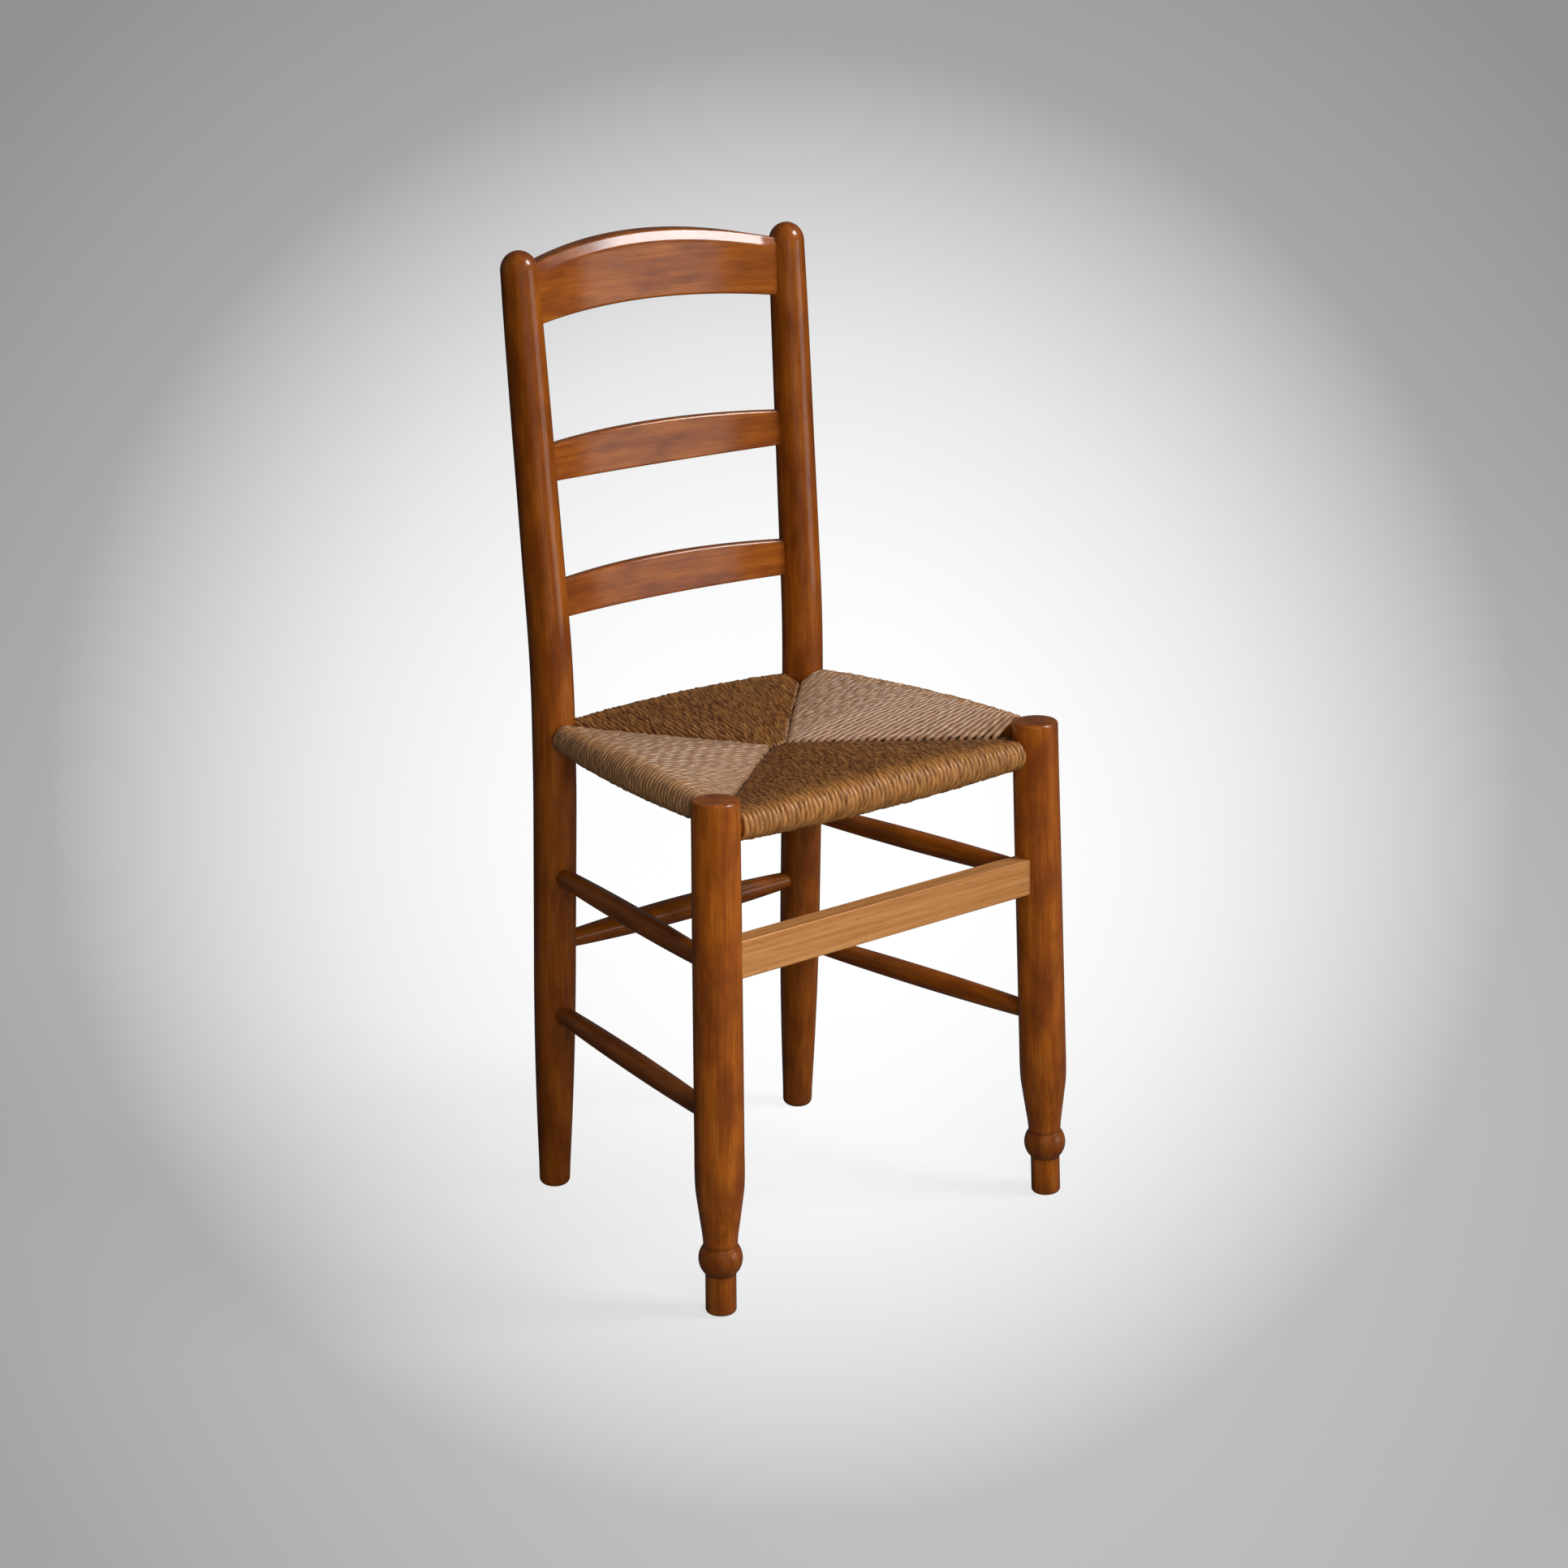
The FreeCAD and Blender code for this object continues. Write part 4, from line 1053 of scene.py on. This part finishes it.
def floor_material(settings, source, aim):
    """Pale photo paper: matt, with a painted pool of light: a glow that is brightest along an aim
    from a source point.

    The painted glow fades with the angle from the aim. The paper keeps the chair's shadow, and is
    dark to the chair itself so that the wood keeps its depth."""
    material, tree, shader = new_material("photo_paper")
    place = add_node(tree, "ShaderNodeTexCoord")
    ray = add_node(tree, "ShaderNodeVectorMath", {
        0: place.outputs["Object"], 1: source}, operation="SUBTRACT")
    direction = add_node(tree, "ShaderNodeVectorMath", {
        0: ray.outputs["Vector"]}, operation="NORMALIZE")
    nearness = add_node(tree, "ShaderNodeVectorMath", {
        0: direction.outputs["Vector"], 1: aim}, operation="DOT_PRODUCT")
    away = add_node(tree, "ShaderNodeMapRange", {
        "Value": nearness.outputs["Value"], "From Min": 1.0, "From Max": 0.94})
    # The painted pool of light: the glow's colour, set by the angle from the aim
    paper = add_node(tree, "ShaderNodeValToRGB", {"Fac": away.outputs["Result"]}, stops=[
        (0.03, settings.painted_pool_near), (0.17, settings.painted_pool_middle), (0.46, settings.painted_pool_edge),
        (0.9, settings.painted_pool_far)])
    glow = add_node(tree, "ShaderNodeEmission", {"Color": paper.outputs["Color"], "Strength": 1.19})
    path = add_node(tree, "ShaderNodeLightPath")
    seen = add_node(tree, "ShaderNodeMix", {
        "Factor_Float": path.outputs["Is Camera Ray"], "A_Color": (*linear("#505050"), 1.0),
        "B_Color": (*linear("#E6E6E6"), 1.0)}, data_type="RGBA")
    tree.links.new(seen.outputs[2], shader.inputs["Base Color"])
    shader.inputs["Roughness"].default_value = 0.9
    # The camera sees the glowing paper, with a fifth of the lit paper for the chair's shadow
    share = add_node(tree, "ShaderNodeMath", {
        0: path.outputs["Is Camera Ray"], 1: 0.8}, operation="MULTIPLY")
    both = add_node(tree, "ShaderNodeMixShader", {
        0: share.outputs["Value"], 1: shader.outputs["BSDF"], 2: glow.outputs["Emission"]})
    tree.links.new(both.outputs["Shader"], tree.nodes["Material Output"].inputs["Surface"])
    return material


def outward_to(azimuth, elevation):
    """Direction from the chair to a light or the camera; azimuth 0 is in front of it."""
    return Vector((math.sin(azimuth) * math.cos(elevation),
                   -math.cos(azimuth) * math.cos(elevation), math.sin(elevation)))


def soft_light(name, azimuth, elevation, distance, size, power, mirrored, context):
    """Area light aimed at the middle of the chair, mirrored in its lacquer or not."""
    lamp = bpy.data.lights.new(name, "AREA")
    lamp.shape = "RECTANGLE"
    lamp.size, lamp.size_y = size
    lamp.energy = power
    light = bpy.data.objects.new(name, lamp)
    outward = outward_to(math.radians(azimuth), math.radians(elevation))
    light.location = Vector((0.0, 0.0, 0.45)) + outward * distance
    light.rotation_euler = outward.to_track_quat("Z", "Y").to_euler()
    light.visible_camera = False
    light.visible_glossy = mirrored
    context.scene.collection.objects.link(light)


class CHAIR_OT_stage(bpy.types.Operator):
    """Set the floor, the soft lights and the camera"""
    bl_idname = "chair.stage"
    bl_label = "Stage"

    def execute(self, context):
        scene = context.scene
        settings = scene.chair_stage
        # The photograph's view, found from the places of the legs and rails in it
        azimuth, elevation, roll = math.radians(-38.62), math.radians(16.99), -0.013
        distance, target = 2.831, Vector((0.0, -0.0212, 0.4144))
        frame_pixels, focal_pixels = 1932, 3788
        back = outward_to(azimuth, elevation)
        view_point = target + back * distance

        radius, sides = 30000.0, 96
        rim = [(radius * math.cos(a), radius * math.sin(a), 0.0)
               for a in (2 * math.pi * i / sides for i in range(sides))]
        floor = new_object("floor", rim, [], [tuple(range(sides))], context)
        floor.data.materials.append(floor_material(settings, view_point, -back))
        soft_light("key_light", azimuth=42.0, elevation=46.0, distance=3.0, size=(0.95, 0.95),
                   power=settings.key_power, mirrored=True, context=context)
        # One light inside another, so that their reflection fades towards its edges
        for share in (1.0, 0.7, 0.4):
            soft_light("window_light", azimuth=38.0, elevation=2.0, distance=3.2,
                       size=(1.7 * share, 1.0 * share), power=settings.window_power * share,
                       mirrored=True, context=context)
        soft_light("fill_light", azimuth=-25.0, elevation=14.0, distance=1.5, size=(1.0, 1.0),
                   power=settings.fill_power, mirrored=False, context=context)
        world = bpy.data.worlds.new("studio")
        world.use_nodes = True
        background = world.node_tree.nodes["Background"]
        background.inputs["Color"].default_value = (1.0, 1.0, 1.0, 1.0)
        path = add_node(world.node_tree, "ShaderNodeLightPath")
        level = add_node(world.node_tree, "ShaderNodeMapRange", {
            "Value": path.outputs["Is Camera Ray"], "To Min": settings.sky_strength,
            "To Max": 0.85})
        world.node_tree.links.new(level.outputs["Result"], background.inputs["Strength"])
        scene.world = world

        right = Vector((0.0, 0.0, 1.0)).cross(back).normalized()
        up = back.cross(right)
        turned_right = right * math.cos(roll) + up * math.sin(roll)
        turned_up = up * math.cos(roll) - right * math.sin(roll)
        lens = bpy.data.cameras.new("camera")
        lens.sensor_width = 36.0
        lens.lens = lens.sensor_width * focal_pixels / frame_pixels
        lens.clip_end = 200.0
        camera = bpy.data.objects.new("camera", lens)
        basis = Matrix((turned_right, turned_up, back)).transposed().to_4x4()
        camera.matrix_world = Matrix.Translation(view_point) @ basis
        scene.collection.objects.link(camera)
        scene.camera = camera
        scene.view_settings.view_transform = "Standard"
        return {"FINISHED"}


BUILD_ORDER = (CHAIR_OT_front_legs, CHAIR_OT_back_posts, CHAIR_OT_stretchers, CHAIR_OT_seat_rails,
               CHAIR_OT_back_rails, CHAIR_OT_front_board, CHAIR_OT_rush_seat, CHAIR_OT_stuffing,
               CHAIR_OT_stage)


class CHAIR_PT_panel(bpy.types.Panel):
    """Lists the steps that build the chair, with its sizes and colours"""
    bl_label = "Ladderback Chair"
    bl_space_type = "VIEW_3D"
    bl_region_type = "UI"
    bl_category = "Chair"

    def draw(self, context):
        scene = context.scene
        for group in (scene.chair_sizes, scene.chair_colours, scene.chair_stage):
            box = self.layout.box()
            for name in group.bl_rna.properties.keys():
                if name not in ("rna_type", "name"):
                    box.prop(group, name)
        for step in BUILD_ORDER:
            self.layout.operator(step.bl_idname)


CLASSES = (ChairSizes, ChairColours, StageSettings) + BUILD_ORDER + (CHAIR_PT_panel,)


def register():
    for item in CLASSES:
        bpy.utils.register_class(item)
    bpy.types.Scene.chair_sizes = bpy.props.PointerProperty(type=ChairSizes)
    bpy.types.Scene.chair_colours = bpy.props.PointerProperty(type=ChairColours)
    bpy.types.Scene.chair_stage = bpy.props.PointerProperty(type=StageSettings)


def unregister():
    del bpy.types.Scene.chair_stage
    del bpy.types.Scene.chair_colours
    del bpy.types.Scene.chair_sizes
    for item in reversed(CLASSES):
        bpy.utils.unregister_class(item)


def main():
    register()
    for step in BUILD_ORDER:
        group, name = step.bl_idname.split(".")
        getattr(getattr(bpy.ops, group), name)()
    bpy.context.view_layer.update()


if __name__ == "__main__":
    main()
